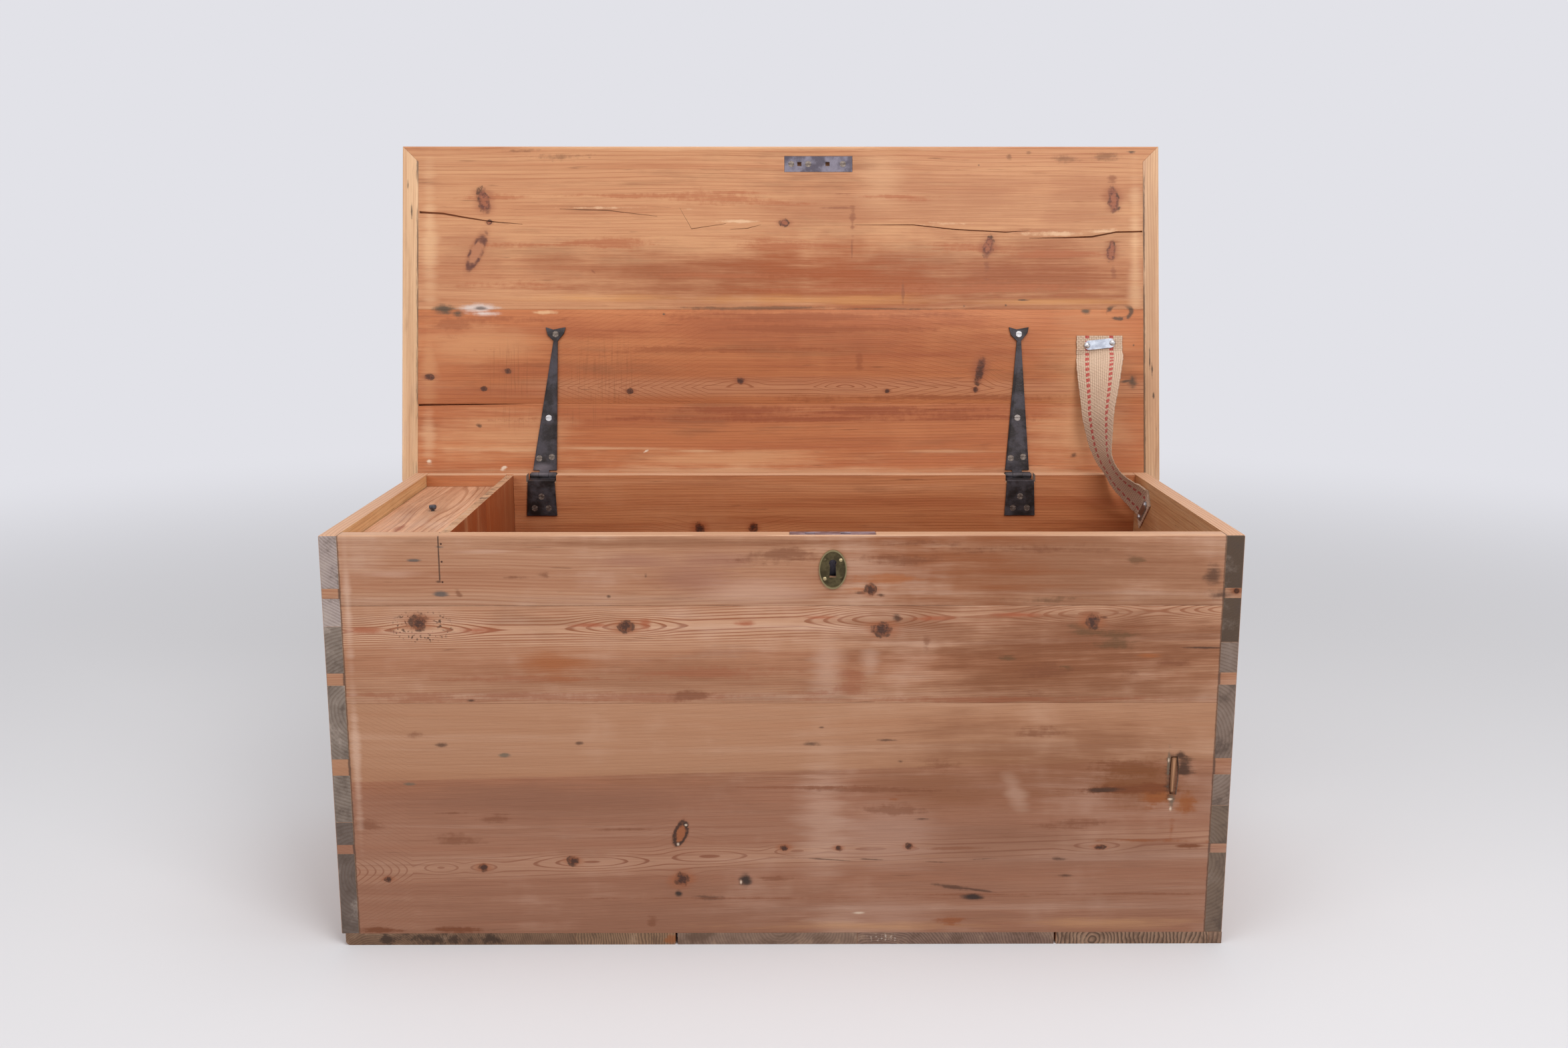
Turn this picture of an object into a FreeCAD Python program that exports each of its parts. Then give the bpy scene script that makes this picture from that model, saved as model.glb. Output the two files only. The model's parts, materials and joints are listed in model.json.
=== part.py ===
"""Blanket chest: a dovetailed pine box with a till, a lock, strap hinges and an open lid held by webbing.

Millimetres. X runs along the chest, Y from front to back, Z up; the origin is under the middle of the base.
The lid is built shut and then turned open about the hinge pins.
"""
import FreeCAD
import Part
import math
import os

Vector = FreeCAD.Vector

# Box of the chest
length = 1096.0
depth = 478.0
height = 520.0
wall = 22.0
edge_round = 2.5
cut_overrun = 5.0

# Dovetails: pins on the front and back, tails on the ends
pin_width = 15.0
pin_flare = 4.5
pin_height_shares = (0.22, 0.43, 0.65, 0.86)
pin_width_shares = (0.77, 1.37, 1.0, 0.8)

# Joints between the boards of each wall, as shares of the wall's height
front_joint_shares = (0.59, 0.83)
back_joint_shares = (0.35, 0.76)
left_joint_shares = (0.29, 0.78)
right_joint_shares = (0.33, 0.74)

# Base boards, which run from front to back
base_thickness = 15.5
base_joint_shares = (0.265, 0.38, 0.585, 0.81, 0.985)
base_open_joints = (1, 3)
base_gap = 2.8
base_left_inset = 5.0
base_corner_round = 6.0

# Cut nails under the base
nail_head = 6.0
nail_head_depth = 1.5
nail_shank = 3.0
nail_length = 42.0
base_nail_counts = (2, 1, 1, 1, 1, 1)

# Till at the left end
till_width = 117.5
till_wall_thickness = 11.0
till_wall_height = 154.0
till_wall_drop = 1.0
till_wall_joint_shares = (0.23, 0.52)
till_housing = 5.0
till_floor_thickness = 9.0
till_floor_rise = 5.0
till_ledge_size = 8.0
till_nail_radius = 1.2
till_nail_length = 40.0
till_nail_shares = (0.06, 0.2, 0.36)

# Till lid, its pegs and its knob
till_lid_drop = 17.0
till_lid_thickness = 8.0
till_lid_side_gap = 1.5
till_lid_end_gap = 1.0
till_lid_rest_gap = 0.2
peg_radius = 3.0
peg_length = 8.0
peg_inset = 8.0
peg_clearance = 0.08
knob_radius = 5.0
knob_height = 8.0
knob_stem_radius = 2.2
knob_along_share = 0.535
knob_across_share = 0.47

# Lock let into the front board
lock_offset = 60.0
lock_width = 102.0
lock_lip = 4.0
selvedge_thickness = 2.4
slot_width = 12.0
slot_depth = 7.0
slot_place_shares = (-0.265, 0.15)
case_height = 65.0
case_inset = 3.5
case_room = 11.0
lock_sheet = 1.5
cap_flange = 9.0
bolt_thickness = 4.0
bolt_bar = 8.0
bolt_drop = 14.0
bolt_gap = 0.2
hook_width = 5.0
hook_nose = 3.0
hook_nose_thickness = 4.0
hook_headroom = 1.0
talon_width = 8.0
talon_depth = 4.0
spring_thickness = 1.0
spring_width = 4.0
drill_pin_radius = 1.6
drill_pin_length = 7.0

# Keyhole and its plate
key_drop = 34.0
key_radius = 4.6
key_slot_waist = 6.6
key_slot_foot = 8.4
key_slot_length = 17.0
plate_width = 33.0
plate_height = 47.5
plate_thickness = 1.2
plate_drop = 7.3
plate_rim = 1.7
plate_rim_height = 0.9
plate_pin_radius = 1.1
plate_pin_length = 9.0
plate_pin_head_radius = 2.1
plate_pin_head_height = 0.8
plate_pin_across = 19.0
plate_pin_up = 22.0

# Strap hinges
leaf_thickness = 3.0
barrel_radius = 5.5
barrel_length = 38.0
barrel_gap = 0.5
knuckle_share = 0.38
knuckle_gap = 0.4
hinge_pin_radius = 2.5
pin_clearance = 0.06
pin_head_radius = 3.6
pin_head_thickness = 1.5
pin_head_gap = 0.3
lid_stand_off = 6.0
leaf_width = 37.0
leaf_neck = 6.5
leaf_length = 203.0
leaf_root = 8.5
tail_width = 30.0
tail_length = 21.0
tail_across_shares = (-0.1, -0.4, -0.5, -0.12, 0.5, 0.42, 0.1)
tail_along_shares = (0.0, 0.42, 1.0, 0.84, 1.0, 0.55, 0.0)
lower_leaf_height = 53.0
lower_leaf_top_width = 40.0
lower_leaf_foot_width = 45.0
notch_depth = 11.0
notch_clearance = 2.0
left_hinge_inset = 192.0
right_hinge_inset = 193.0
left_tip_shift = 16.5
right_tip_shift = 3.5
upper_screw_shares = ((0.13, 0.2), (0.14, 0.77), (0.43, 0.47))
lower_screw_shares = ((0.55, 0.5), (0.22, 0.24), (0.22, 0.76))

# Countersunk and round-headed screws
screw_head_radius = 4.6
screw_head_depth = 2.4
screw_shank_radius = 1.9
screw_length = 15.0
screw_slot_width = 1.1
screw_slot_depth = 1.0
dome_radius = 4.6
dome_height = 2.6

# Lid: three boards between two clamps with mitred front corners
lid_thickness = 20.0
lid_front_overhang = 14.0
lid_back_overhang = 22.0
lid_side_overhang = 22.5
lid_rest_gap = 0.4
lid_joint_shares = (0.48, 0.757)
lid_corner_round = 12.0
lid_edge_round = 2.5
clamp_width = 23.5
open_angle = 101.5

# Lock keeper on the lid; its staples are gone and the square holes are empty
keeper_width = 102.5
keeper_depth = 24.0
keeper_thickness = 2.4
keeper_shift = -3.5
keeper_hole = 6.0
keeper_hole_depth = 7.0
keeper_hole_shares = (-0.28, 0.135)
keeper_screw_shares = (-0.4, -0.15, 0.36)

# Webbing stay, from the lid to the right end; stations run from its top end to its foot
webbing_width = 69.0
webbing_thickness = 2.4
webbing_reach = 211.0
webbing_end_reach = 188.0
webbing_inset = 68.0
webbing_foot_back = 91.0
webbing_foot_drop = 51.0
webbing_foot_angle = 38.0
webbing_foot_length = 20.0
webbing_steps = 3
across_shares = (-0.09, -0.18, -0.27, -0.25, -0.17, 0.0, 0.26, 0.59, 0.85)
forward_shares = (0.215, 0.39, 0.53, 0.635, 0.7, 0.75, 0.79, 0.835, 0.88)
down_shares = (0.185, 0.31, 0.44, 0.575, 0.67, 0.74, 0.81, 0.865, 0.905)
turn_shares = (0.32, 0.54, 0.68, 0.8, 0.9, 0.96, 0.98, 0.99, 1.0)
rise_shares = (0.1, 0.12, 0.13, 0.13, 0.13, 0.15, 0.25, 0.34, 0.42)

# Metal plates that hold the webbing
stay_plate_length = 46.0
stay_plate_width = 14.0
stay_plate_thickness = 2.0
stay_plate_angle = 6.0
stay_plate_reach = 198.0
stay_screws_apart = 38.5

# Places that several pieces share
front_face = -depth / 2
back_face = depth / 2
front_inner = front_face + wall
back_inner = back_face - wall
left_inner = -length / 2 + wall
right_inner = length / 2 - wall
board_height = height - base_thickness
axis_y = back_face + barrel_radius + barrel_gap
axis_z = height + lid_rest_gap - lid_stand_off
lid_under = height + lid_rest_gap
lid_front = front_face - lid_front_overhang
lid_back = back_face + lid_back_overhang
lid_end = length / 2 + lid_side_overhang
till_wall_left = left_inner + till_width
till_wall_right = till_wall_left + till_wall_thickness
till_wall_top = height - till_wall_drop
till_wall_foot = till_wall_top - till_wall_height
till_lid_top = height - till_lid_drop
peg_x = left_inner + peg_inset
peg_z = till_lid_top - till_lid_thickness / 2
key_z = height - key_drop
selvedge_under = height - selvedge_thickness
case_under = selvedge_under - case_height
cap_front = front_inner - lock_sheet
case_back = cap_front - case_room
notch_floor = height - notch_depth
hinge_places = {"left": left_hinge_inset - length / 2, "right": length / 2 - right_hinge_inset}
hinge_tip_shifts = {"left": left_tip_shift, "right": right_tip_shift}
webbing_place = length / 2 - webbing_inset
lid_lean = math.radians(open_angle) - math.pi / 2
UP = Vector(0, 0, 1)
DOWN = Vector(0, 0, -1)
FORWARD = Vector(0, -1, 0)
BACKWARD = Vector(0, 1, 0)
RIGHTWARD = Vector(1, 0, 0)


def box(x0, x1, y0, y1, z0, z1):
    """Block between two corners."""
    return Part.makeBox(x1 - x0, y1 - y0, z1 - z0, Vector(x0, y0, z0))


def prism(points, reach):
    """Flat outline pushed along a vector."""
    return Part.Face(Part.makePolygon(points + points[:1])).extrude(reach)


def carve(shape, cutters):
    """Shape without the cutters that reach it, as one solid."""
    reaching = [cutter for cutter in cutters if shape.BoundBox.intersect(cutter.BoundBox)]
    if reaching:
        shape = shape.cut(reaching)
    return shape.Solids[0]


def ease(shape, radius, chosen):
    """Rounds the edges whose middle point the test chooses."""
    edges = [edge for edge in shape.Edges if chosen(edge.CenterOfMass)]
    return shape.makeFillet(radius, edges)


def near(a, b):
    return abs(a - b) < edge_round / 2


def save(name, solids):
    """Writes one piece, or a group of like pieces, as one node."""
    shape = Part.makeCompound(solids) if isinstance(solids, list) else solids
    shape.exportStep("parts/" + name + ".step")


def turned_open(shape):
    """Copy of a lid piece, swung from shut to open about the hinge pins."""
    shape = shape.copy()
    shape.rotate(Vector(0, axis_y, axis_z), RIGHTWARD, -open_angle)
    return shape


def placed(shape, point, inward):
    """Copy of a shape built downwards from the origin, moved to a point and aimed inwards."""
    shape = shape.copy()
    shape.Placement = FreeCAD.Placement(point, FreeCAD.Rotation(DOWN, inward))
    return shape


def flat_screw():
    """Countersunk slotted wood screw, its head level with the origin."""
    head = Part.makeCone(screw_head_radius, screw_shank_radius, screw_head_depth, Vector(0, 0, 0), DOWN)
    shank = Part.makeCylinder(screw_shank_radius, screw_length, Vector(0, 0, 0), DOWN)
    half = screw_slot_width / 2
    slot = box(-screw_head_radius, screw_head_radius, -half, half, -screw_slot_depth, 0)
    return head.fuse(shank).cut(slot).Solids[0]


def screw_hole():
    """Room for the countersunk screw, without its slot."""
    head = Part.makeCone(screw_head_radius, screw_shank_radius, screw_head_depth, Vector(0, 0, 0), DOWN)
    return head.fuse(Part.makeCylinder(screw_shank_radius, screw_length, Vector(0, 0, 0), DOWN))


def round_screw():
    """Round-headed slotted screw, seated at the origin."""
    sphere_radius = (dome_radius ** 2 + dome_height ** 2) / (2 * dome_height)
    ball = Part.makeSphere(sphere_radius, Vector(0, 0, dome_height - sphere_radius))
    head = ball.common(Part.makeCylinder(dome_radius, dome_height))
    slot_floor = dome_height - screw_slot_depth
    half = screw_slot_width / 2
    slot = box(-dome_radius, dome_radius, -half, half, slot_floor, dome_height)
    shank = Part.makeCylinder(screw_shank_radius, screw_length, Vector(0, 0, 0), DOWN)
    return head.cut(slot).fuse(shank).Solids[0]


def shank_hole():
    return Part.makeCylinder(screw_shank_radius, screw_length, Vector(0, 0, 0), DOWN)


def wall_level(share):
    """Height above the floor of a share of the wall boards."""
    return base_thickness + share * board_height


def pins(outer, inner):
    """Dovetail pins of the front or the back, at both ends."""
    solids = []
    for level_share, width_share in zip(pin_height_shares, pin_width_shares):
        level = wall_level(level_share)
        half = pin_width * width_share / 2
        for start in (-length / 2, right_inner):
            outline = [
                Vector(start, outer, level - half),
                Vector(start, outer, level + half),
                Vector(start, inner, level + half + pin_flare),
                Vector(start, inner, level - half - pin_flare),
            ]
            solids.append(prism(outline, RIGHTWARD * wall))
    return solids


def envelope():
    """Outside of the four walls, with its worn corners and rim."""
    block = box(-length / 2, length / 2, front_face, back_face, base_thickness, height)
    return ease(block, edge_round, lambda at: not near(at.z, base_thickness))


def boards(blank, joint_shares):
    """Cuts a wall into the edge-joined boards that it is made of, from the lowest up."""
    levels = [base_thickness] + [wall_level(share) for share in joint_shares] + [height]
    frame = blank.BoundBox
    slabs = []
    for low, high in zip(levels, levels[1:]):
        slabs.append(box(frame.XMin, frame.XMax, frame.YMin, frame.YMax, low, high))
    return [blank.common(slab).Solids[0] for slab in slabs]


def base_boards():
    """Boards of the base, with two joints that have opened."""
    joints = [length * share - length / 2 for share in base_joint_shares]
    starts = [base_left_inset - length / 2] + joints
    ends = joints + [length / 2]
    for index in base_open_joints:
        ends[index] -= base_gap / 2
        starts[index + 1] += base_gap / 2
    solids = [box(start, end, front_face, back_face, 0, base_thickness) for start, end in zip(starts, ends)]
    left = starts[0]
    corner = lambda at: near(at.x, left) and near(at.y, 0) and near(at.z, 0)
    solids[0] = ease(solids[0], base_corner_round, corner)
    return solids


def base_nails(planks):
    """Nails through the base into the front and the back, spaced along each board."""
    solids = []
    for plank, count in zip(planks, base_nail_counts):
        span = plank.BoundBox.XLength
        for index in range(count):
            x = plank.BoundBox.XMin + span * (index + 1 / 2) / count
            for y in (front_face + wall / 2, back_face - wall / 2):
                head = square_bar(x, y, nail_head, nail_head_depth)
                solids.append(head.fuse(square_bar(x, y, nail_shank, nail_length)).Solids[0])
    return solids


def square_bar(x, y, width, reach):
    """Upright square bar that stands on the floor."""
    half = width / 2
    return box(x - half, x + half, y - half, y + half, 0, reach)


def till_wall_boards():
    """Three upright boards whose ends are housed in the front and the back."""
    edges = [front_inner - till_housing]
    edges += [front_inner + (back_inner - front_inner) * share for share in till_wall_joint_shares]
    edges += [back_inner + till_housing]
    spans = zip(edges, edges[1:])
    return [box(till_wall_left, till_wall_right, y0, y1, till_wall_foot, till_wall_top) for y0, y1 in spans]


def till_housings():
    """Grooves in the front and back that take the till's wall."""
    grooves = []
    for y0, y1 in ((front_inner - till_housing, front_inner), (back_inner, back_inner + till_housing)):
        grooves.append(box(till_wall_left, till_wall_right, y0, y1, till_wall_foot, height + cut_overrun))
    return grooves


def till_nails():
    """Nails from the front face into the end of the till's wall."""
    x = (till_wall_left + till_wall_right) / 2
    levels = [till_wall_top - till_wall_height * share for share in till_nail_shares]
    heads = [Vector(x, front_face, z) for z in levels]
    return [Part.makeCylinder(till_nail_radius, till_nail_length, head, BACKWARD) for head in heads]


def till_floor():
    floor = till_wall_foot + till_floor_rise
    return box(left_inner, till_wall_left, front_inner, back_inner, floor, floor + till_floor_thickness)


def till_ledge():
    """Strip on the till's wall that the lid's free edge rests on."""
    top = till_lid_top - till_lid_thickness - till_lid_rest_gap
    edge = till_wall_left - till_ledge_size
    return box(edge, till_wall_left, front_inner, back_inner, top - till_ledge_size, top)


def till_lid():
    """Till lid with a round peg at each end of its left edge."""
    y0 = front_inner + till_lid_end_gap
    y1 = back_inner - till_lid_end_gap
    left = left_inner + till_lid_side_gap
    right = till_wall_left - till_lid_side_gap
    board = box(left, right, y0, y1, till_lid_top - till_lid_thickness, till_lid_top)
    reach = till_lid_end_gap + peg_length
    for y, way in ((y0, FORWARD), (y1, BACKWARD)):
        board = board.fuse(Part.makeCylinder(peg_radius, reach, Vector(peg_x, y, peg_z), way))
    return board.cut(knob_stem()).Solids[0]


def peg_holes():
    radius = peg_radius + peg_clearance
    reach = peg_length + till_lid_end_gap
    ends = ((front_inner, FORWARD), (back_inner, BACKWARD))
    return [Part.makeCylinder(radius, reach, Vector(peg_x, y, peg_z), way) for y, way in ends]


def knob_point():
    x = left_inner + till_width * knob_across_share
    y = front_inner + (back_inner - front_inner) * knob_along_share
    return Vector(x, y, till_lid_top)


def knob_stem():
    return Part.makeCylinder(knob_stem_radius, till_lid_thickness, knob_point(), DOWN)


def till_knob():
    """Turned peg knob: a stem, a waist and a flattened ball."""
    point = knob_point()
    ball_height = knob_height - knob_radius / 2
    ball = Part.makeSphere(knob_radius, point + UP * ball_height)
    above = Part.makeCylinder(knob_radius, knob_height - knob_stem_radius, point + UP * knob_stem_radius)
    crown = ball.common(above)
    waist = Part.makeCylinder(knob_stem_radius, knob_height / 2, point)
    return crown.fuse([waist, knob_stem()]).Solids[0]


def keyhole(y, reach):
    """Keyhole cutter: a round with a slot below it that widens towards its foot."""
    centre = Vector(lock_offset, y, key_z)
    bow = Part.makeCylinder(key_radius, reach, centre, BACKWARD)
    waist = RIGHTWARD * (key_slot_waist / 2)
    foot = RIGHTWARD * (key_slot_foot / 2)
    bottom = centre - UP * key_slot_length
    corners = [centre - waist, centre + waist, bottom + foot, bottom - foot, centre - waist]
    return bow.fuse(Part.Face(Part.makePolygon(corners)).extrude(BACKWARD * reach))


def selvedge_block():
    half = lock_width / 2
    y0 = front_face + lock_lip
    return box(lock_offset - half, lock_offset + half, y0, front_inner, selvedge_under, height)


def slot_centres():
    return [lock_offset + lock_width * share for share in slot_place_shares]


def lock_selvedge():
    """Top plate of the lock, with a slot for each staple."""
    middle = (front_face + lock_lip + front_inner) / 2
    half = slot_width / 2
    y0 = middle - slot_depth / 2
    y1 = middle + slot_depth / 2
    cutters = [box(x - half, x + half, y0, y1, selvedge_under, height) for x in slot_centres()]
    return carve(selvedge_block(), cutters)


def case_block(inset):
    """Outside of the lock case, or its inside when drawn in by the sheet."""
    half = lock_width / 2 - case_inset - inset
    y0 = case_back + inset
    z0 = case_under + inset
    return box(lock_offset - half, lock_offset + half, y0, cap_front, z0, selvedge_under)


def lock_case():
    key_way = keyhole(case_back - cut_overrun, cut_overrun + lock_sheet)
    return carve(case_block(0), [case_block(lock_sheet), key_way])


def cap_block():
    half = lock_width / 2 - case_inset + cap_flange
    return box(lock_offset - half, lock_offset + half, cap_front, front_inner, case_under, selvedge_under)


def lock_screw_points():
    half = lock_width / 2 - case_inset + cap_flange / 2
    levels = (case_under + cap_flange, selvedge_under - cap_flange)
    return [Vector(lock_offset + side * half, front_inner, z) for side in (-1, 1) for z in levels]


def lock_bolt():
    """Sliding bar with a hook beside each slot and a notch for the key."""
    y0 = case_back + lock_sheet + bolt_gap
    y1 = y0 + bolt_thickness
    top = selvedge_under - bolt_drop
    first, last = slot_centres()
    half = slot_width / 2
    bar = box(first - half - hook_width, last + half + hook_width, y0, y1, top - bolt_bar, top)
    hook_top = selvedge_under - hook_headroom
    hooks = []
    for x in (first - half, last - half):
        hooks.append(box(x - hook_width, x, y0, y1, top - bolt_bar, hook_top))
        hooks.append(box(x - hook_width, x + hook_nose, y0, y1, hook_top - hook_nose_thickness, hook_top))
    notch_left = lock_offset - talon_width / 2
    notch_foot = top - bolt_bar
    notch = box(notch_left, notch_left + talon_width, y0, y1, notch_foot, notch_foot + talon_depth)
    return carve(bar.fuse(hooks), [notch])


def lock_spring():
    """Leaf spring fixed at the case's left wall, just under the bolt."""
    top = selvedge_under - bolt_drop - bolt_bar - bolt_gap
    y0 = case_back + lock_sheet + bolt_gap
    left = lock_offset - lock_width / 2 + case_inset + lock_sheet
    return box(left, lock_offset - talon_width, y0, y0 + spring_width, top - spring_thickness, top)


def lock_drill_pin():
    """Post on the cap that the hollow key turns on."""
    root = Vector(lock_offset, cap_front, key_z)
    return Part.makeCylinder(drill_pin_radius, drill_pin_length, root, FORWARD)


def oval(y, shrink, reach):
    """Upright oval slab, drawn in from the key plate's outline."""
    tall = Vector(0, 0, plate_height / 2 - shrink)
    wide = Vector(plate_width / 2 - shrink, 0, 0)
    centre = Vector(lock_offset, y, key_z - plate_drop)
    edge = Part.Edge(Part.Ellipse(centre + tall, centre + wide, centre))
    return Part.Face(Part.Wire([edge])).extrude(FORWARD * reach)


def plate_pin_places():
    """The four pins stand on the plate's diagonals."""
    centre = Vector(lock_offset, front_face - plate_thickness, key_z - plate_drop)
    wide = RIGHTWARD * (plate_pin_across / 2)
    tall = UP * (plate_pin_up / 2)
    return [centre + wide * across + tall * up for across in (-1, 1) for up in (-1, 1)]


def plate_pin_shanks():
    places = plate_pin_places()
    return [Part.makeCylinder(plate_pin_radius, plate_pin_length, point, BACKWARD) for point in places]


def plate_pins():
    """Brass pins with low domed heads."""
    ball_radius = (plate_pin_head_radius ** 2 + plate_pin_head_height ** 2) / (2 * plate_pin_head_height)
    made = []
    for point, shank in zip(plate_pin_places(), plate_pin_shanks()):
        ball = Part.makeSphere(ball_radius, point + BACKWARD * (ball_radius - plate_pin_head_height))
        room = Part.makeCylinder(plate_pin_head_radius, plate_pin_head_height, point, FORWARD)
        made.append(ball.common(room).fuse(shank).Solids[0])
    return made


def key_plate():
    """Oval keyhole plate with a raised rim."""
    slab = oval(front_face, 0, plate_thickness)
    rim = oval(front_face, 0, plate_thickness + plate_rim_height)
    rim = rim.cut(oval(front_face, plate_rim, plate_thickness + plate_rim_height))
    return carve(slab.fuse(rim), plate_pin_shanks() + [keyhole(front_face - wall, wall)])


def barrel(x0, x1, radius):
    return Part.makeCylinder(radius, x1 - x0, Vector(x0, axis_y, axis_z), RIGHTWARD)


def knuckle_span(x):
    """Ends of the lid leaf's knuckle, in the middle of the barrel."""
    half = barrel_length * knuckle_share / 2
    return x - half, x + half


def lower_leaf(x, screw_points):
    """Leaf on the back's inner face, bent over the notch and rolled into the outer knuckles."""
    top_half = lower_leaf_top_width / 2
    foot_half = lower_leaf_foot_width / 2
    bend = notch_floor + leaf_thickness
    face = back_inner - leaf_thickness
    outline = [
        Vector(x - foot_half, face, bend - lower_leaf_height),
        Vector(x + foot_half, face, bend - lower_leaf_height),
        Vector(x + top_half, face, bend),
        Vector(x - top_half, face, bend),
    ]
    leaf = prism(outline, BACKWARD * leaf_thickness)
    rolled = barrel_length / 2
    over = box(x - rolled, x + rolled, face, axis_y, notch_floor, bend)
    leaf = leaf.fuse([over, barrel(x - rolled, x + rolled, barrel_radius)])
    start, end = knuckle_span(x)
    room = barrel(start - knuckle_gap, end + knuckle_gap, barrel_radius + knuckle_gap)
    bore = barrel(x - barrel_length, x + barrel_length, hinge_pin_radius + pin_clearance)
    holes = [placed(screw_hole(), point, BACKWARD) for point in screw_points]
    return carve(leaf, [room, bore] + holes)


def lower_screw_points(x):
    bend = notch_floor + leaf_thickness
    left = x - lower_leaf_top_width / 2
    points = []
    for level_share, across_share in lower_screw_shares:
        z = bend - lower_leaf_height * (1 - level_share)
        points.append(Vector(left + lower_leaf_top_width * across_share, back_inner - leaf_thickness, z))
    return points


def leaf_edges(x, tip_shift, share):
    """Left and right edge of the tapering leaf at a share of its length."""
    centre = x + tip_shift * share
    half = (leaf_width + (leaf_neck - leaf_width) * share) / 2
    return centre - half, centre + half


def upper_leaf(x, tip_shift, screw_points):
    """Tapering leaf under the shut lid, with a fishtail end and the middle knuckle."""
    under = axis_z + lid_stand_off - leaf_thickness
    root_left, root_right = leaf_edges(x, tip_shift, leaf_root / leaf_length)
    neck_left, neck_right = leaf_edges(x, tip_shift, 1)
    neck_y = axis_y - leaf_length
    root_y = axis_y - leaf_root
    blade = [
        Vector(root_left, root_y, under),
        Vector(root_right, root_y, under),
        Vector(neck_right, neck_y, under),
        Vector(neck_left, neck_y, under),
    ]
    tip = x + tip_shift
    tail = []
    for across_share, along_share in zip(tail_across_shares, tail_along_shares):
        tail.append(Vector(tip + tail_width * across_share, neck_y - tail_length * along_share, under))
    thick = UP * leaf_thickness
    start, end = knuckle_span(x)
    web = box(start, end, root_y, axis_y, under, under + leaf_thickness)
    web = web.common(barrel_room(start, end))
    leaf = prism(blade, thick).fuse([prism(tail, thick), web, barrel(start, end, barrel_radius)])
    bore = barrel(x - barrel_length, x + barrel_length, hinge_pin_radius + pin_clearance)
    return carve(leaf, [bore] + [placed(screw_hole(), point, UP) for point in screw_points])


def barrel_room(start, end):
    """Block over the front half of the barrel, where the lid leaf's web runs."""
    reach = leaf_root + barrel_radius
    return box(start, end, axis_y - reach, axis_y, axis_z, axis_z + reach)


def upper_screw_points(x, tip_shift):
    under = axis_z + lid_stand_off - leaf_thickness
    points = []
    for along_share, across_share in upper_screw_shares:
        left, right = leaf_edges(x, tip_shift, along_share)
        points.append(Vector(left + (right - left) * across_share, axis_y - leaf_length * along_share, under))
    points.append(Vector(x + tip_shift, axis_y - leaf_length - tail_length / 2, under))
    return points


def hinge_pin(x):
    """Loose pin with a peened head outside each end of the barrel."""
    half = barrel_length / 2 + pin_head_gap
    rod = barrel(x - half, x + half, hinge_pin_radius)
    heads = [barrel(x - half - pin_head_thickness, x - half, pin_head_radius)]
    heads.append(barrel(x + half, x + half + pin_head_thickness, pin_head_radius))
    return rod.fuse(heads).Solids[0]


def hinge_notch(x):
    half = lower_leaf_top_width / 2 + notch_clearance
    y0 = back_inner - cut_overrun
    y1 = back_face + cut_overrun
    return box(x - half, x + half, y0, y1, notch_floor, height + cut_overrun)


def lid_boards():
    """Boards of the shut lid, from front to back; the front one runs out to the mitred corners."""
    y0 = lid_front
    joints = [lid_front + (lid_back - lid_front) * share for share in lid_joint_shares]
    inner = lid_end - clamp_width
    mitre = lid_front + clamp_width
    outline = [
        Vector(-lid_end, y0, lid_under),
        Vector(lid_end, y0, lid_under),
        Vector(inner, mitre, lid_under),
        Vector(inner, joints[0], lid_under),
        Vector(-inner, joints[0], lid_under),
        Vector(-inner, mitre, lid_under),
    ]
    front_edges = lambda at: near(at.x, 0) and near(at.y, y0)
    front = ease(prism(outline, UP * lid_thickness), lid_edge_round, front_edges)
    top = lid_under + lid_thickness
    middle = box(-inner, inner, joints[0], joints[1], lid_under, top)
    back = box(-inner, inner, joints[1], lid_back, lid_under, top)
    return [front, middle, back]


def lid_clamp(side):
    """End clamp, its grain running from front to back, with a rounded rear corner."""
    outer = side * lid_end
    inner = side * (lid_end - clamp_width)
    outline = [
        Vector(inner, lid_back, lid_under),
        Vector(outer, lid_back, lid_under),
        Vector(outer, lid_front, lid_under),
        Vector(inner, lid_front + clamp_width, lid_under),
    ]
    bar = prism(outline, UP * lid_thickness)
    return ease(bar, lid_corner_round, lambda at: near(at.x, outer) and near(at.y, lid_back))


def keeper_centre():
    return lock_offset + keeper_shift, (front_face + lock_lip + front_inner) / 2


def keeper_block():
    x, y = keeper_centre()
    half = keeper_width / 2
    deep = keeper_depth / 2
    return box(x - half, x + half, y - deep, y + deep, lid_under, lid_under + keeper_thickness)


def keeper_holes():
    x, y = keeper_centre()
    half = keeper_hole / 2
    top = lid_under + keeper_hole_depth
    lefts = [x + keeper_width * share - half for share in keeper_hole_shares]
    return [box(left, left + keeper_hole, y - half, y + half, lid_under, top) for left in lefts]


def keeper_screw_points():
    x, y = keeper_centre()
    return [Vector(x + keeper_width * share, y, lid_under) for share in keeper_screw_shares]


def webbing_foot():
    """Middle of the webbing's lower end, half its thickness from the right end."""
    foot_y = back_face - webbing_foot_back
    return Vector(right_inner - webbing_thickness / 2, foot_y, height - webbing_foot_drop)


def lid_up():
    """Way up the open lid's inner face."""
    return BACKWARD * math.sin(lid_lean) + UP * math.cos(lid_lean)


def lid_inward():
    """Way from the room into the open lid's wood."""
    return BACKWARD * math.cos(lid_lean) + DOWN * math.sin(lid_lean)


def on_lid(x, reach, stand):
    """Point of the open lid's inner face: across, up from the pins, and out from the wood."""
    return Vector(x, axis_y, axis_z) + lid_up() * reach + lid_inward() * (lid_stand_off - stand)


def lid_way():
    """Way across the webbing and its plate where they lie on the open lid."""
    slope = math.radians(stay_plate_angle)
    return RIGHTWARD * math.cos(slope) + lid_up() * math.sin(slope)


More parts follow.
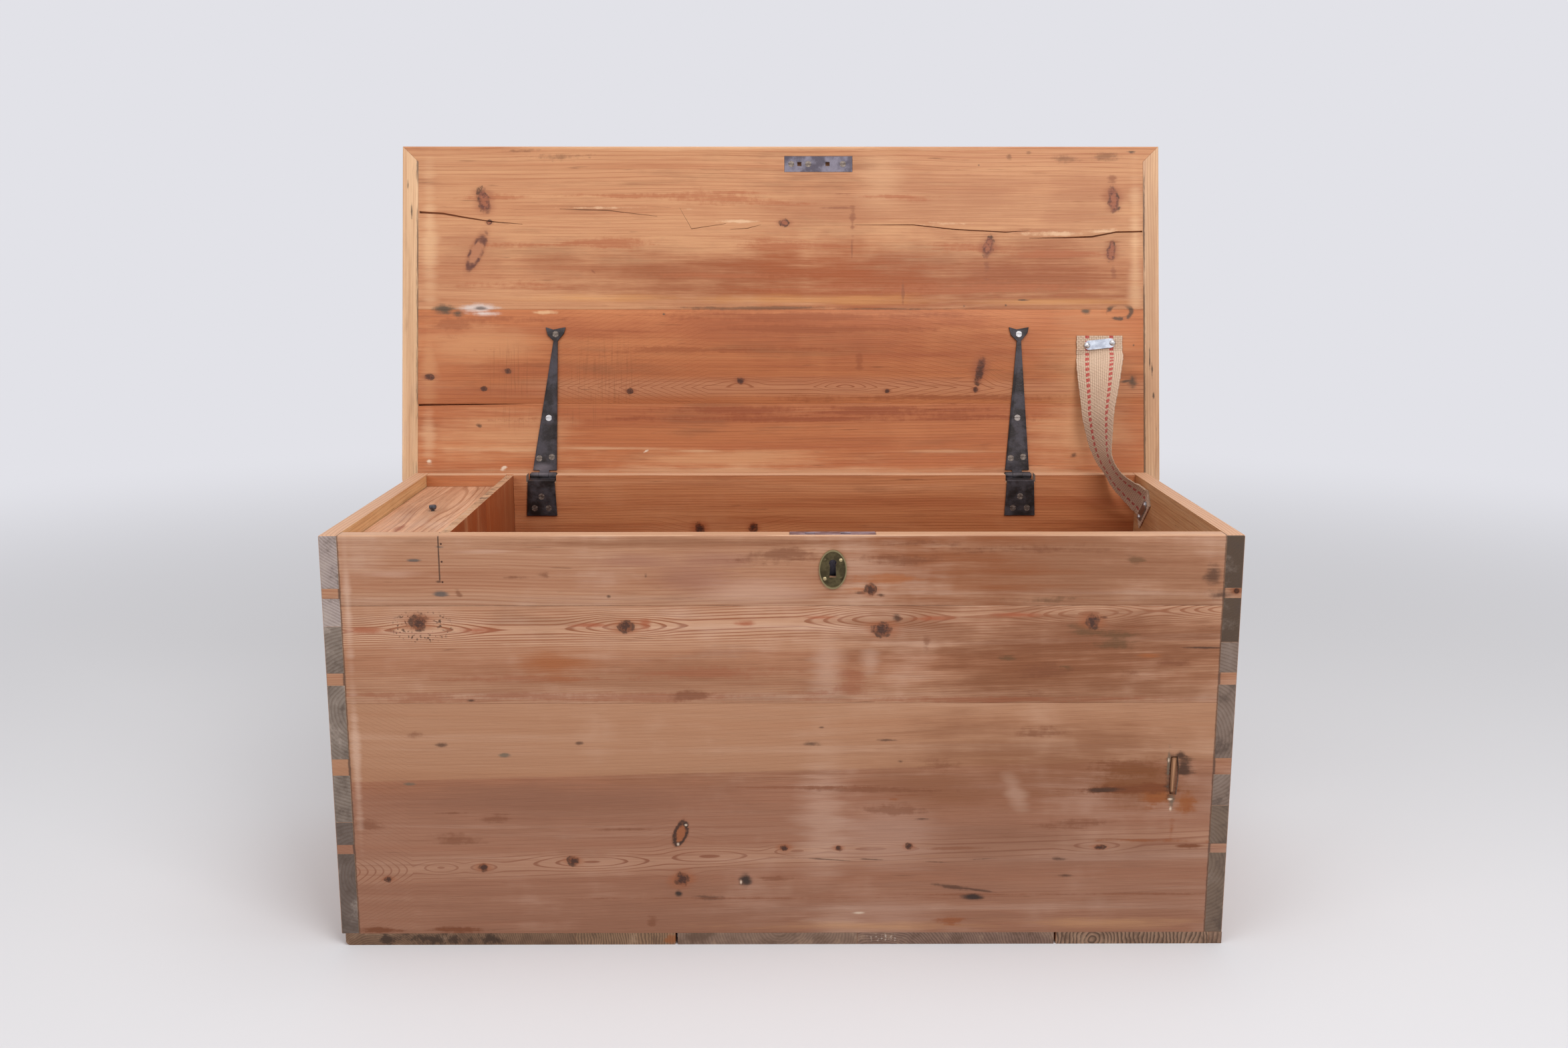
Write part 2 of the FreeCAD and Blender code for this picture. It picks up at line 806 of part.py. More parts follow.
def width_way(turn, rise):
    """Way across the webbing, turned from along the chest towards the front and tipped up."""
    return Vector(math.cos(turn) * math.cos(rise), -math.sin(turn) * math.cos(rise), math.sin(rise))


def webbing_stations():
    """Middle points and width ways of the webbing, from the lid to the right end."""
    half = webbing_thickness / 2
    start = on_lid(webbing_place, webbing_reach, half)
    foot = webbing_foot()
    tilt = math.radians(webbing_foot_angle)
    along = Vector(0, -math.sin(tilt), -math.cos(tilt))
    stations = [(start, lid_way()), (on_lid(webbing_place, webbing_end_reach, half), lid_way())]
    rows = zip(across_shares, forward_shares, down_shares, turn_shares, rise_shares)
    for across, forward, down, turn, rise in rows:
        middle = Vector(start.x + (foot.x - start.x) * across, 0, start.z + (foot.z - start.z) * down)
        middle.y = start.y + (foot.y - start.y) * forward
        stations.append((middle, width_way(turn * math.pi / 2, rise * math.pi / 2)))
    stations.append((foot - along * webbing_foot_length, width_way(math.pi / 2, tilt)))
    stations.append((foot, width_way(math.pi / 2, tilt)))
    return stations


def smooth(values, index, part):
    """Curve through a list of vectors, between one of them and the next."""
    first = values[max(index - 1, 0)]
    last = values[min(index + 2, len(values) - 1)]
    here = values[index]
    after = values[index + 1]
    bow = (first * 2 - here * 5 + after * 4 - last) * part ** 2
    twist = (here * 3 - first - after * 3 + last) * part ** 3
    return here + ((after - first) * part + bow + twist) * (1 / 2)


def webbing_stay():
    """Slack webbing that leaves the lid, twists edge-on and lies flat against the right end."""
    stations = webbing_stations()
    middles = [middle for middle, way in stations]
    ways = [way for middle, way in stations]
    path = [stations[0]]
    for index in range(1, len(stations) - 2):
        for step in range(webbing_steps):
            part = step / webbing_steps
            path.append((smooth(middles, index, part), smooth(ways, index, part)))
    path += stations[-2:]
    sections = []
    for index, (middle, way) in enumerate(path):
        before = path[max(index - 1, 0)][0]
        after = path[min(index + 1, len(path) - 1)][0]
        across = way.normalize() * (webbing_width / 2)
        out = (after - before).cross(way).normalize() * (webbing_thickness / 2)
        corners = [middle - across - out, middle + across - out, middle + across + out, middle - across + out]
        sections.append(Part.makePolygon(corners + corners[:1]))
    return Part.makeLoft(sections, True, True)


def stay_plate_blank():
    """Bar with round ends, lying below the origin along X."""
    reach = stay_plate_length / 2 - stay_plate_width / 2
    radius = stay_plate_width / 2
    bar = box(-reach, reach, -radius, radius, -stay_plate_thickness, 0)
    ends = [Part.makeCylinder(radius, stay_plate_thickness, Vector(x, 0, 0), DOWN) for x in (-reach, reach)]
    return bar.fuse(ends).removeSplitter()


def stay_fixing(point, across, inward):
    """Plate, its two screws and their holes, seated with the plate's outer face at a point."""
    turn = FreeCAD.Rotation(across, inward.cross(across), inward * -1, "ZXY")
    plate = stay_plate_blank()
    plate.Placement = FreeCAD.Placement(point, turn)
    half = stay_screws_apart / 2
    points = [point - across * half, point + across * half]
    screws = [placed(round_screw(), at, inward) for at in points]
    holes = [placed(shank_hole(), at, inward) for at in points]
    return carve(plate, holes), screws, holes


def upper_stay():
    """Fixing on the open lid."""
    face = on_lid(webbing_place, stay_plate_reach, webbing_thickness + stay_plate_thickness)
    return stay_fixing(face, lid_way(), lid_inward())


def lower_stay():
    """Fixing on the right end's inner face."""
    tilt = math.radians(webbing_foot_angle)
    across = Vector(0, -math.cos(tilt), math.sin(tilt))
    along = Vector(0, -math.sin(tilt), -math.cos(tilt))
    point = webbing_foot() - along * (webbing_foot_length / 2)
    point.x = right_inner - webbing_thickness - stay_plate_thickness
    return stay_fixing(point, across, RIGHTWARD)


def main():
    os.makedirs("parts", exist_ok=True)
    outside = envelope()
    front_pins = pins(front_face, front_inner)
    back_pins = pins(back_face, back_inner)
    lower_plate, lower_stay_screws, lower_stay_holes = lower_stay()
    upper_plate, upper_stay_screws, upper_stay_holes = upper_stay()
    planks = base_boards()
    nails = base_nails(planks)
    wall_nails = till_nails()
    lower_points = {side: lower_screw_points(x) for side, x in hinge_places.items()}
    upper_points = {side: upper_screw_points(x, hinge_tip_shifts[side]) for side, x in hinge_places.items()}

    # Everything let into the walls of the box
    cutters = nails + wall_nails + plate_pin_shanks() + till_housings() + peg_holes() + lower_stay_holes
    cutters += [selvedge_block(), case_block(0), cap_block()]
    cutters.append(keyhole(front_face - cut_overrun, wall + cut_overrun))
    cutters += [placed(screw_hole(), point, FORWARD) for point in lock_screw_points()]
    for side, x in hinge_places.items():
        cutters.append(hinge_notch(x))
        cutters += [placed(screw_hole(), point, BACKWARD) for point in lower_points[side]]

    # Walls
    front = box(left_inner, right_inner, front_face, front_inner, base_thickness, height)
    back = box(left_inner, right_inner, back_inner, back_face, base_thickness, height)
    left = box(-length / 2, left_inner, front_face, back_face, base_thickness, height)
    right = box(right_inner, length / 2, front_face, back_face, base_thickness, height)
    walls = {
        "front_board": (front.fuse(front_pins), front_joint_shares),
        "back_board": (back.fuse(back_pins), back_joint_shares),
        "left_board": (left.cut(front_pins + back_pins), left_joint_shares),
        "right_board": (right.cut(front_pins + back_pins), right_joint_shares),
    }
    for name, (blank, joint_shares) in walls.items():
        for place, board in zip(("lower", "middle", "upper"), boards(blank.common(outside), joint_shares)):
            save(name + "_" + place, carve(board, cutters))

    # Base
    for index, plank in enumerate(planks, 1):
        save("base_board_" + str(index), carve(plank, nails))
    save("base_nails", nails)

    # Till
    for place, board in zip(("front", "middle", "back"), till_wall_boards()):
        save("till_wall_" + place, carve(board, wall_nails))
    save("till_floor", till_floor())
    save("till_ledge", till_ledge())
    save("till_nails", wall_nails)
    save("till_lid", till_lid())
    save("till_knob", till_knob())

    # Lock and keyhole plate
    lock_holes = [placed(screw_hole(), point, FORWARD) for point in lock_screw_points()]
    save("lock_selvedge", lock_selvedge())
    save("lock_case", lock_case())
    save("lock_cap", carve(cap_block(), lock_holes))
    save("lock_bolt", lock_bolt())
    save("lock_spring", lock_spring())
    save("lock_drill_pin", lock_drill_pin())
    save("lock_screws", [placed(flat_screw(), point, FORWARD) for point in lock_screw_points()])
    save("key_plate", key_plate())
    save("key_plate_pins", plate_pins())

    # Hinges
    for side, x in hinge_places.items():
        save(side + "_hinge_lower_leaf", lower_leaf(x, lower_points[side]))
        back_screws = [placed(flat_screw(), point, BACKWARD) for point in lower_points[side]]
        save(side + "_hinge_lower_screws", back_screws)
        save(side + "_hinge_pin", hinge_pin(x))
        leaf = upper_leaf(x, hinge_tip_shifts[side], upper_points[side])
        save(side + "_hinge_upper_leaf", turned_open(leaf))
        lid_screws = [turned_open(placed(flat_screw(), point, UP)) for point in upper_points[side]]
        save(side + "_hinge_upper_screws", lid_screws)

    # Lid
    lid_cutters = [keeper_block()] + keeper_holes()
    lid_cutters += [placed(screw_hole(), point, UP) for points in upper_points.values() for point in points]
    lid_cutters += [placed(screw_hole(), point, UP) for point in keeper_screw_points()]
    lid_cutters = [turned_open(cutter) for cutter in lid_cutters] + upper_stay_holes
    for place, board in zip(("front", "middle", "back"), lid_boards()):
        save("lid_board_" + place, carve(turned_open(board), lid_cutters))
    save("left_lid_clamp", turned_open(lid_clamp(-1)))
    save("right_lid_clamp", turned_open(lid_clamp(1)))
    keeper_cutters = keeper_holes() + [placed(screw_hole(), point, UP) for point in keeper_screw_points()]
    save("lock_keeper", turned_open(carve(keeper_block(), keeper_cutters)))
    keeper_screws = [placed(flat_screw(), point, UP) for point in keeper_screw_points()]
    save("lock_keeper_screws", [turned_open(screw) for screw in keeper_screws])

    # Webbing stay
    save("webbing_stay", carve(webbing_stay(), upper_stay_holes + lower_stay_holes))
    save("stay_upper_plate", upper_plate)
    save("stay_upper_screws", upper_stay_screws)
    save("stay_lower_plate", lower_plate)
    save("stay_lower_screws", lower_stay_screws)


main()
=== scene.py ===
# %% [markdown]
# # A pine blanket chest, dressed over its CAD frame
# The chest is an old dovetailed pine box: a hinged lid, a small till inside, a lock in the front
# and a webbing stay that keeps the lid from falling back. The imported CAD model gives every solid
# its exact place, so this lesson never moves them. It adds what a camera sees on top of them:
# grain, knots, wear, forged iron, brass and woven jute.

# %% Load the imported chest
import bmesh
import bpy
import json
import math
from mathutils import Matrix, Vector

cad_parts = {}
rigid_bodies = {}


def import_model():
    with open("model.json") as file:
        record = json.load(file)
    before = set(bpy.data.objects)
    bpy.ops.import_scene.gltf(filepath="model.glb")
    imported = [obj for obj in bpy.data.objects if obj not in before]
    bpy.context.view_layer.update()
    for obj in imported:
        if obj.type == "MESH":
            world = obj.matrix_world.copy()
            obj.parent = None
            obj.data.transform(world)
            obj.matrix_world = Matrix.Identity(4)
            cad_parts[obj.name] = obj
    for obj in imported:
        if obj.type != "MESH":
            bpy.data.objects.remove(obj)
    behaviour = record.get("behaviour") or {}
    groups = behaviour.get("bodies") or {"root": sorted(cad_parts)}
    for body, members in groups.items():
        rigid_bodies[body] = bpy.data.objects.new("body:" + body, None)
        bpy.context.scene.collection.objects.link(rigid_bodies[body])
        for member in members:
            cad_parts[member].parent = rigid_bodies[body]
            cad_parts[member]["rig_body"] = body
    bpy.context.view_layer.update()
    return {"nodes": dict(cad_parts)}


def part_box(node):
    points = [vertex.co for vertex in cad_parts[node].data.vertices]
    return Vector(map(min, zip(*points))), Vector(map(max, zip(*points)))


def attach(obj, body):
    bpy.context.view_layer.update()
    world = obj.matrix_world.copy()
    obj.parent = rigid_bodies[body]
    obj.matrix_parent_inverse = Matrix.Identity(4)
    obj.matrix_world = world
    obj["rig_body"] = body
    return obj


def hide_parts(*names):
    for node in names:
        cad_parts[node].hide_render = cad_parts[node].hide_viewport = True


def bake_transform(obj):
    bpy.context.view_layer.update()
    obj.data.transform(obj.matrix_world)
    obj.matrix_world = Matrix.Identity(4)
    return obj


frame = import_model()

nodes = frame["nodes"]
scene = bpy.context.scene
scene.view_settings.view_transform = "Standard"
bpy.ops.object.select_all(action="DESELECT")

# %% [markdown]
# ## The camera
# The box's corners in the photograph fix where its camera stood: about two metres in front of the
# chest's middle and a third of a metre above the rim, looking down by some eleven degrees. The lens
# follows from the focal length in pixels, because the sensor is as wide as the picture.

# %% Stand the camera
photo_width = 2346
focal_pixels = 2212.1
camera_place = (-0.00514, -1.95019, 0.86209)
look_down = math.radians(10.872)
look_right = math.radians(0.243)
bpy.ops.object.camera_add(location=camera_place, rotation=(math.pi / 2 - look_down, 0, -look_right))
camera = bpy.context.object
camera.data.sensor_width = 36
camera.data.lens = camera.data.sensor_width * focal_pixels / photo_width
scene.camera = camera
print("lens", round(camera.data.lens, 2), "mm")

# %% [markdown]
# ## Shader sums in plain Python
# A finish is a network of nodes. Written node by node, a sum such as 1 - mask takes three lines,
# so one small class wraps a socket and gives it Python's operators. A second class owns a
# material and has one method that adds any node: type, settings, then sockets.

# %% A socket that does sums
class Wire:
    """An output of a shader node; sums on it add Math nodes."""

    def __init__(self, finish, socket):
        self.finish = finish
        self.socket = socket

    def sum(self, operation, first, second=0.0):
        return self.finish.node("Math", {"operation": operation}, {0: first, 1: second})

    def __add__(self, other):
        return self.sum("ADD", self, other)

    def __sub__(self, other):
        return self.sum("SUBTRACT", self, other)

    def __rsub__(self, other):
        return self.sum("SUBTRACT", other, self)

    def __mul__(self, other):
        return self.sum("MULTIPLY", self, other)

    def __truediv__(self, other):
        return self.sum("DIVIDE", self, other)

    def __pow__(self, other):
        return self.sum("POWER", self, other)

    def __abs__(self):
        return self.sum("ABSOLUTE", self)

    def part(self):
        """What is left after the whole number."""
        return self.sum("FRACT", self)

    def wave(self):
        return self.sum("SINE", self)

    def least(self, other):
        return self.sum("MINIMUM", self, other)

    def most(self, other):
        return self.sum("MAXIMUM", self, other)

    __radd__ = __add__
    __rmul__ = __mul__


# %% A finish and its nodes
class Finish:
    """A material with one Principled shader, and the means to add nodes to it."""

    def __init__(self, name):
        self.material = bpy.data.materials.new(name)
        self.material.use_nodes = True
        self.tree = self.material.node_tree
        self.tree.nodes.clear()
        self.shader = self.tree.nodes.new("ShaderNodeBsdfPrincipled")
        self.output = self.tree.nodes.new("ShaderNodeOutputMaterial")
        self.tree.links.new(self.shader.outputs[0], self.output.inputs["Surface"])

    def node(self, kind, settings, sockets, out=0):
        made = self.tree.nodes.new("ShaderNode" + kind)
        for key, value in settings.items():
            setattr(made, key, value)
        for key, value in sockets.items():
            self.feed(made.inputs[key], value)
        return Wire(self, made.outputs[out])

    def feed(self, socket, value):
        if isinstance(value, Wire):
            self.tree.links.new(value.socket, socket)
        else:
            socket.default_value = value

    def wear(self, **sockets):
        """Feeds the shader; Base_Color stands for the socket Base Color."""
        for key, value in sockets.items():
            self.feed(self.shader.inputs[key.replace("_", " ")], value)

    def place(self):
        return self.node("TexCoord", {}, {}, "Object")

    def facing(self):
        return self.node("TexCoord", {}, {}, "Normal")

    def axis(self, vector, letter):
        return self.node("SeparateXYZ", {}, {0: vector}, letter.upper())

    def scaled(self, vector, scale, shift=(0, 0, 0)):
        return self.node("Mapping", {}, {"Vector": vector, "Scale": scale, "Location": shift})

    def noise(self, vector, scale, detail=2.0, rough=0.5):
        sockets = {"Vector": vector, "Scale": scale, "Detail": detail, "Roughness": rough}
        return self.node("TexNoise", {}, sockets)

    def step(self, value, low, high):
        """Eased step from 0 at low to 1 at high; low may be the larger."""
        sockets = {"Value": value, "From Min": low, "From Max": high}
        return self.node("MapRange", {"interpolation_type": "SMOOTHSTEP"}, sockets)

    def mix(self, share, first, second, blend="MIX"):
        settings = {"data_type": "RGBA", "blend_type": blend}
        return self.node("Mix", settings, {0: share, 6: first, 7: second}, 2)

    def reach(self, vector, middle, halves):
        """How far a point is from a middle, as a share of the half sizes round it."""
        shares = [1 / half for half in halves]
        back = [-place * share for place, share in zip(middle, shares)]
        near = self.node("VectorMath", {"operation": "MULTIPLY_ADD"}, {0: vector, 1: shares, 2: back})
        return self.node("VectorMath", {"operation": "LENGTH"}, {0: near}, "Value")

    def bump(self, height, depth, strength=1.0):
        return self.node("Bump", {}, {"Height": height, "Distance": depth, "Strength": strength})


def tone(red, green, blue):
    """A colour read as 0 to 255, in the linear numbers that shaders use."""
    shares = [c / 255 for c in (red, green, blue)]
    linear = [c / 12.92 if c < 0.04045 else ((c + 0.055) / 1.055) ** 2.4 for c in shares]
    return (*linear, 1.0)


# %% [markdown]
# ## A plain studio
# The floor is a large pale disc. Near the chest it is an ordinary matt surface that takes the
# shadow; far out it fades into the colour of the room, so no horizon shows. The room lights the
# chest softly from all round, and three large lamps give it shape.

# %% Floor that fades into the room
paper = tone(226, 226, 232)
floor_reach = 14.0
bpy.ops.mesh.primitive_circle_add(vertices=96, radius=floor_reach, fill_type="NGON")
floor = bpy.context.object
floor.name = "studio_floor"

ground = Finish("pale_floor")
ground.wear(Base_Color=tone(222, 221, 224), Roughness=0.8)
distance = ground.node("VectorMath", {"operation": "LENGTH"}, {0: ground.place()}, "Value")
seen = ground.node("LightPath", {}, {}, "Is Camera Ray")
far_off = ground.step(distance, 1.2, 4.5) * seen
glow = ground.node("Emission", {}, {"Color": paper, "Strength": 1.0})
base = Wire(ground, ground.shader.outputs[0])
blend = ground.node("MixShader", {}, {0: far_off, 1: base, 2: glow})
ground.feed(ground.output.inputs["Surface"], blend)
floor.data.materials.append(ground.material)
print("floor reaches", floor_reach, "m")

# %% Room light
room_strength = 0.5
world = bpy.data.worlds.new("soft_room")
world.use_nodes = True
scene.world = world
room = Finish.__new__(Finish)
room.tree = world.node_tree
room.tree.nodes.clear()
camera_ray = room.node("LightPath", {}, {}, "Is Camera Ray")
glossy_ray = room.node("LightPath", {}, {}, "Is Glossy Ray")
through_ray = room.node("LightPath", {}, {}, "Is Transmission Ray")
shown = camera_ray.most(glossy_ray).most(through_ray)
lighting = room.node("Background", {}, {"Color": (1, 1, 1, 1), "Strength": room_strength})
backdrop = room.node("Background", {}, {"Color": paper, "Strength": 1.0})
sky = room.node("MixShader", {}, {0: shown, 1: lighting, 2: backdrop})
outside = room.tree.nodes.new("ShaderNodeOutputWorld")
room.feed(outside.inputs["Surface"], sky)
print("room strength", room_strength)


# %% Lamps
def lamp(name, place, aim, size, watts):
    """Large square lamp that faces a point."""
    bpy.ops.object.light_add(type="AREA", location=place)
    made = bpy.context.object
    made.name = name
    made.data.size = size
    made.data.energy = watts
    made.rotation_euler = (Vector(aim) - Vector(place)).to_track_quat("-Z", "Y").to_euler()


lamp("window_lamp", (1.3, -2.2, 2.7), (0, 0, 0.5), 1.6, 44)
lamp("fill_lamp", (-2.2, -2.2, 2.1), (0, 0, 0.4), 2.0, 26)
lamp("ceiling_lamp", (0.2, -0.3, 3.4), (0, 0, 0.3), 2.0, 34)
print("three lamps stand")

# %% [markdown]
# ## Old pine
# A board is cut from a round tree, so its grain is one solid pattern: rings round a heart that
# runs along the board and wanders a little. Where a face lies flat to the rings they open into
# flames and eyes; elsewhere they run as fine lines, and on the end they show as arcs. One solid
# pattern gives all three, so it wraps round every edge as real wood does.

# %% Pine and its rings
lid_lean = math.radians(11.5)
lid_axis = Vector((0, 0.245, 0.5144))
lid_shift = -(Matrix.Rotation(lid_lean, 3, "X") @ lid_axis)
late_wood = 0.0015
stain_depth = 0.008
whole_board = 1000
pale_heart = tone(212, 168, 136)


class Pine(Finish):
    """Pine wood: patterns on a board's length u, width v and thickness w, laid one over another."""

    def __init__(self, name, axes, seed, ground, late, face=0.0, on_lid=False):
        super().__init__(name)
        self.axes = axes
        self.seed = seed
        self.face = face
        self.colour = ground
        self.late = late
        self.at = self.place()
        if on_lid:
            lid_plane = {"Vector": self.at, "Rotation": (lid_lean, 0, 0), "Location": lid_shift}
            self.at = self.node("Mapping", {}, lid_plane)
        self.u, self.v, self.w = [self.axis(self.at, letter) for letter in axes]
        self.fibre = self.node("CombineXYZ", {}, {0: self.u, 1: self.v, 2: self.w})
        self.grain = self.fibre
        drift = (self.streaks(1.1, 3.0, 2) - 0.5) * 0.03
        self.grain = self.node("CombineXYZ", {}, {0: self.u, 1: self.v + drift, 2: self.w})
        self.ragged = self.noise(self.at, 120.0, 4.0, 0.65) - 0.5
        self.smear = self.streaks(7, 90, 4, 11, 0.65) - 0.5
        self.fine = self.streaks(14, 900, 3)
        self.worn = self.noise(self.scaled(self.at, (1, 1, 1), (seed, seed, seed)), 6.5, 4.0, 0.6)

    def streaks(self, along, across, detail, turn=0.0, rough=0.5):
        """Noise drawn out along the grain."""
        shift = (self.seed + turn, self.seed * 3 + turn, self.seed * 7)
        return self.noise(self.scaled(self.grain, (along, across, across), shift), 1.0, detail, rough)

    def lay(self, mask, paint):
        self.colour = self.mix(mask, self.colour, paint)

    def spot(self, place, through=False):
        """How far a point is from a spot in millimetres, as a share of its half length and half height."""
        along, across, half_long, half_tall = [size / 1000 for size in place[:4]]
        tilt = place[4:]
        middle = (along, across, self.face)
        halves = (half_long, half_tall, whole_board if through else stain_depth)
        if not tilt:
            return self.reach(self.fibre, middle, halves)
        turn = {"Rotation": (0, 0, math.radians(tilt[0])), "Location": middle, "Scale": halves}
        near = self.node("Mapping", {"vector_type": "TEXTURE"}, {"Vector": self.fibre, **turn})
        return self.node("VectorMath", {"operation": "LENGTH"}, {0: near}, "Value")

    def nearest(self, places, through=False):
        gap = self.spot(places[0], through)
        for place in places[1:]:
            gap = gap.least(self.spot(place, through))
        return gap

    def grow(
        self, heart, ring, figure, band, flame=0.01, lean=0.0, vees=(), eyes=(), pale=0.0, wander=0.6
    ):
        """Rings round a heart in width and thickness; vees run to a point, eyes close round branches."""
        across = self.v - self.u * lean - heart[0] - (self.streaks(1.5, 5, 2, 1) - 0.5) * 0.02
        through = self.w - heart[1] - (self.streaks(2.1, 7, 2, 5) - 0.5) * (flame * 2)
        radius = (across * across + through * through) ** 0.5
        for start, end, slope in vees:
            radius = radius - (self.u.most(start).least(end) - start) * slope
        for along, up, half_long, half_tall, count in eyes:
            hump = self.step(self.spot((along, up, half_long, half_tall), True), 1.0, 0.0)
            radius = radius - hump * (ring * count)
        phase = (radius / ring + (self.streaks(2.5, 40, 2, 9) - 0.5) * wander).part()
        dark = min(late_wood / ring, 0.6)
        end = self.step(phase, 1.0, 0.94)
        self.lines = self.step(phase, 1 - dark, 1 - dark * 0.45) * end
        self.arcs = self.step(phase, 0.25, 0.85) * end
        clear = self.step(abs(across), band, band * 0.3)
        self.lay(clear * pale, pale_heart)
        shown = self.step(self.streaks(3.2, 9, 3, 13), 0.3, 0.6) * 0.35 + 0.65
        self.lay(self.lines * (clear * 0.72 + 0.28) * shown * figure, self.late)


# %% [markdown]
# ## Years of use
# Branches leave knots, and years leave bands, smoky patches, stains and specks; the pale haze is
# partly pale wood, partly painted reflection. They could be painted on a picture, but a picture would
# have seams at the edges of the boards. Here each mark is laid over the solid grain as a soft mask,
# broken up along the fibres as a real stain is. Last come the rubbed rim with painted light on its
# top, the aged inside with painted shade, and the weathered ends.

# %% Stains and knots
bark = tone(40, 24, 17)
smoke = tone(122, 76, 48)
chalk = tone(214, 180, 158)
speck_brown = tone(96, 58, 36)


class UsedPine(Pine):
    """Pine with the marks that branches and years have left."""

    def age(self, streak, streak_tone, cloud=0.4, haze_and_reflection=0.25, pale=chalk):
        """Bands, threads and fibres of darker wood, smoky and pale patches, and specks; the pale haze is
        partly pale wood, partly painted reflection.
        """
        broad = self.streaks(0.8, 34, 5, 2, 0.64)
        self.lay(self.step(broad, 0.46, 0.66) * streak, streak_tone)
        self.lay(self.step(broad, 0.46, 0.28) * 0.42, pale)
        self.lay(self.step(self.streaks(5, 330, 3, 3, 0.6), 0.5, 0.72) * 0.42, self.late)
        patch = self.streaks(3.0, 13, 5, 7, 0.66)
        self.lay(self.step(patch + self.smear * 0.5, 0.5, 0.72) * cloud, smoke)
        # Pale haze: partly pale wood, partly painted reflection.
        self.lay(self.step(self.worn + self.smear * 0.4, 0.5, 0.72) * haze_and_reflection, pale)
        self.lay(self.step(self.fine, 0.4, 0.75) * 0.26, self.late)
        self.specks = self.step(self.streaks(16, 210, 3, 4), 0.66, 0.78)
        self.lay(self.specks * 0.45, speck_brown)

    def stain(self, paint, share, *places, run=1.0):
        """Marks of one colour; the larger run is, the more their edges break up along the grain."""
        edge = self.nearest(places) + self.smear * (4.2 * run) + self.ragged * (1.7 * run)
        self.lay(self.step(edge, 1.2, 0.15) * share, paint)

    def wash(self, paint, share, *places):
        """Wide soft change of colour, streaky inside."""
        edge = self.nearest(places) + self.smear * 2.0 + (self.worn - 0.5) * 1.6
        self.lay(self.step(edge, 1.15, 0.0) * share, paint)

    def knot(self, inner, outer, halo, *places):
        """Branches cut across: a blotchy core, a dark crescent, and stained wood along the grain."""
        drawn = [(x, up, long * 2.1, tall * 1.25, *tilt) for x, up, long, tall, *tilt in places]
        self.lay(self.step(self.nearest(drawn, True) + self.smear * 1.4, 1.25, 0.35) * 0.6, halo)
        gap = self.nearest(places, True)
        mottle = self.noise(self.at, 240.0, 3.0, 0.6) - 0.5
        edge = gap + self.ragged * 1.2
        core = self.mix(self.step(gap + mottle * 2.2, 0.25, 1.0), inner, outer)
        self.lay(self.step(edge, 1.12, 0.66) * 0.94, core)
        part = self.step(self.noise(self.at, 70.0, 2.0), 0.48, 0.6)
        self.lay(self.step(abs(edge - 0.95), 0.3, 0.05) * part * 0.7, bark)


# %% Rims, ends and the whole board
grain_depth = 0.0007
end_line = tone(84, 62, 48)
end_dirt = tone(78, 62, 52)
end_lit = tone(196, 180, 166)


class Board(UsedPine):
    """A whole board, with its rubbed rim and painted light on top, its aged inside with painted shade, and
    weathered ends.
    """

    def aged_face_and_painted_light(self, letter, sign, tint):
        """Tints the face that looks one way: partly that face's own deeper colour, partly painted shade; a
        tint above one paints light.
        """
        turned = self.step(self.axis(self.facing(), letter) * sign, 0.4, 0.8)
        self.lay(turned, self.mix(1.0, self.colour, tint, "MULTIPLY"))

    def rubbed_and_lit_rim(self, paint):
        # Up-facing faces get the pale rim tone: partly rubbed wood, partly painted light from above.
        top = self.step(self.axis(self.facing(), "z"), 0.35, 0.9)
        rubbed_and_highlit = self.mix(self.lines * 0.35 + (1 - self.worn) * 0.3, paint, self.late)
        self.lay(top * 0.85, rubbed_and_highlit)

    def grey_ends(self, paint, line=end_line, dirt=end_dirt, lit=end_lit, rings=0.35):
        """Weathered end grain: ring arcs, dirt and rubbed fibres."""
        end = self.step(abs(self.axis(self.facing(), self.axes[0])), 0.6, 0.85)
        grime = self.noise(self.scaled(self.at, (1, 1, 1), (self.seed, 0, 0)), 30.0, 5.0, 0.7)
        cut = self.mix(self.arcs * rings, paint, line)
        cut = self.mix(self.step(grime, 0.48, 0.68) * 0.75, cut, dirt)
        cut = self.mix(self.step(grime, 0.48, 0.3) * 0.4, cut, lit)
        self.lay(end, cut)

    def seal(self, gloss=0.5):
        """Feeds the shader, and gives the finished material."""
        height = self.fine * 0.5 + self.lines * 0.25 + self.worn * 0.4 + self.ragged * 0.25
        rough = gloss + self.fine * 0.12 - self.lines * 0.05 + self.specks * 0.15
        face = self.bump(height, grain_depth, 0.55)
        self.wear(Base_Color=self.colour, Roughness=rough, Normal=face, Specular_IOR_Level=0.35)
        return self.material


def dress(material, *names):
    for name in names:
        slots = nodes[name].data.materials
        slots.clear()
        slots.append(material)


# %% [markdown]
# ## The front
# Three boards make the front. The middle one is cut through the heart of the tree, so a row of
# flames and eyes runs along it; the lowest has a second, wider row near the floor and a pale
# sapwood edge above it. Knots and stains stand where they do on the real chest, each as a place
# along the chest and above the floor with a half length and a half height, all in millimetres. A
# fifth number tilts a mark, in degrees.

# %% What the front boards share
front_face = -0.239
corner_joint = 0.526
front_early = tone(182, 135, 104)
front_late = tone(140, 80, 48)
# Pale tone of the rim tops: partly rubbed wood, partly painted light from above.
rubbed_and_lit_rim_tone = tone(216, 172, 138)
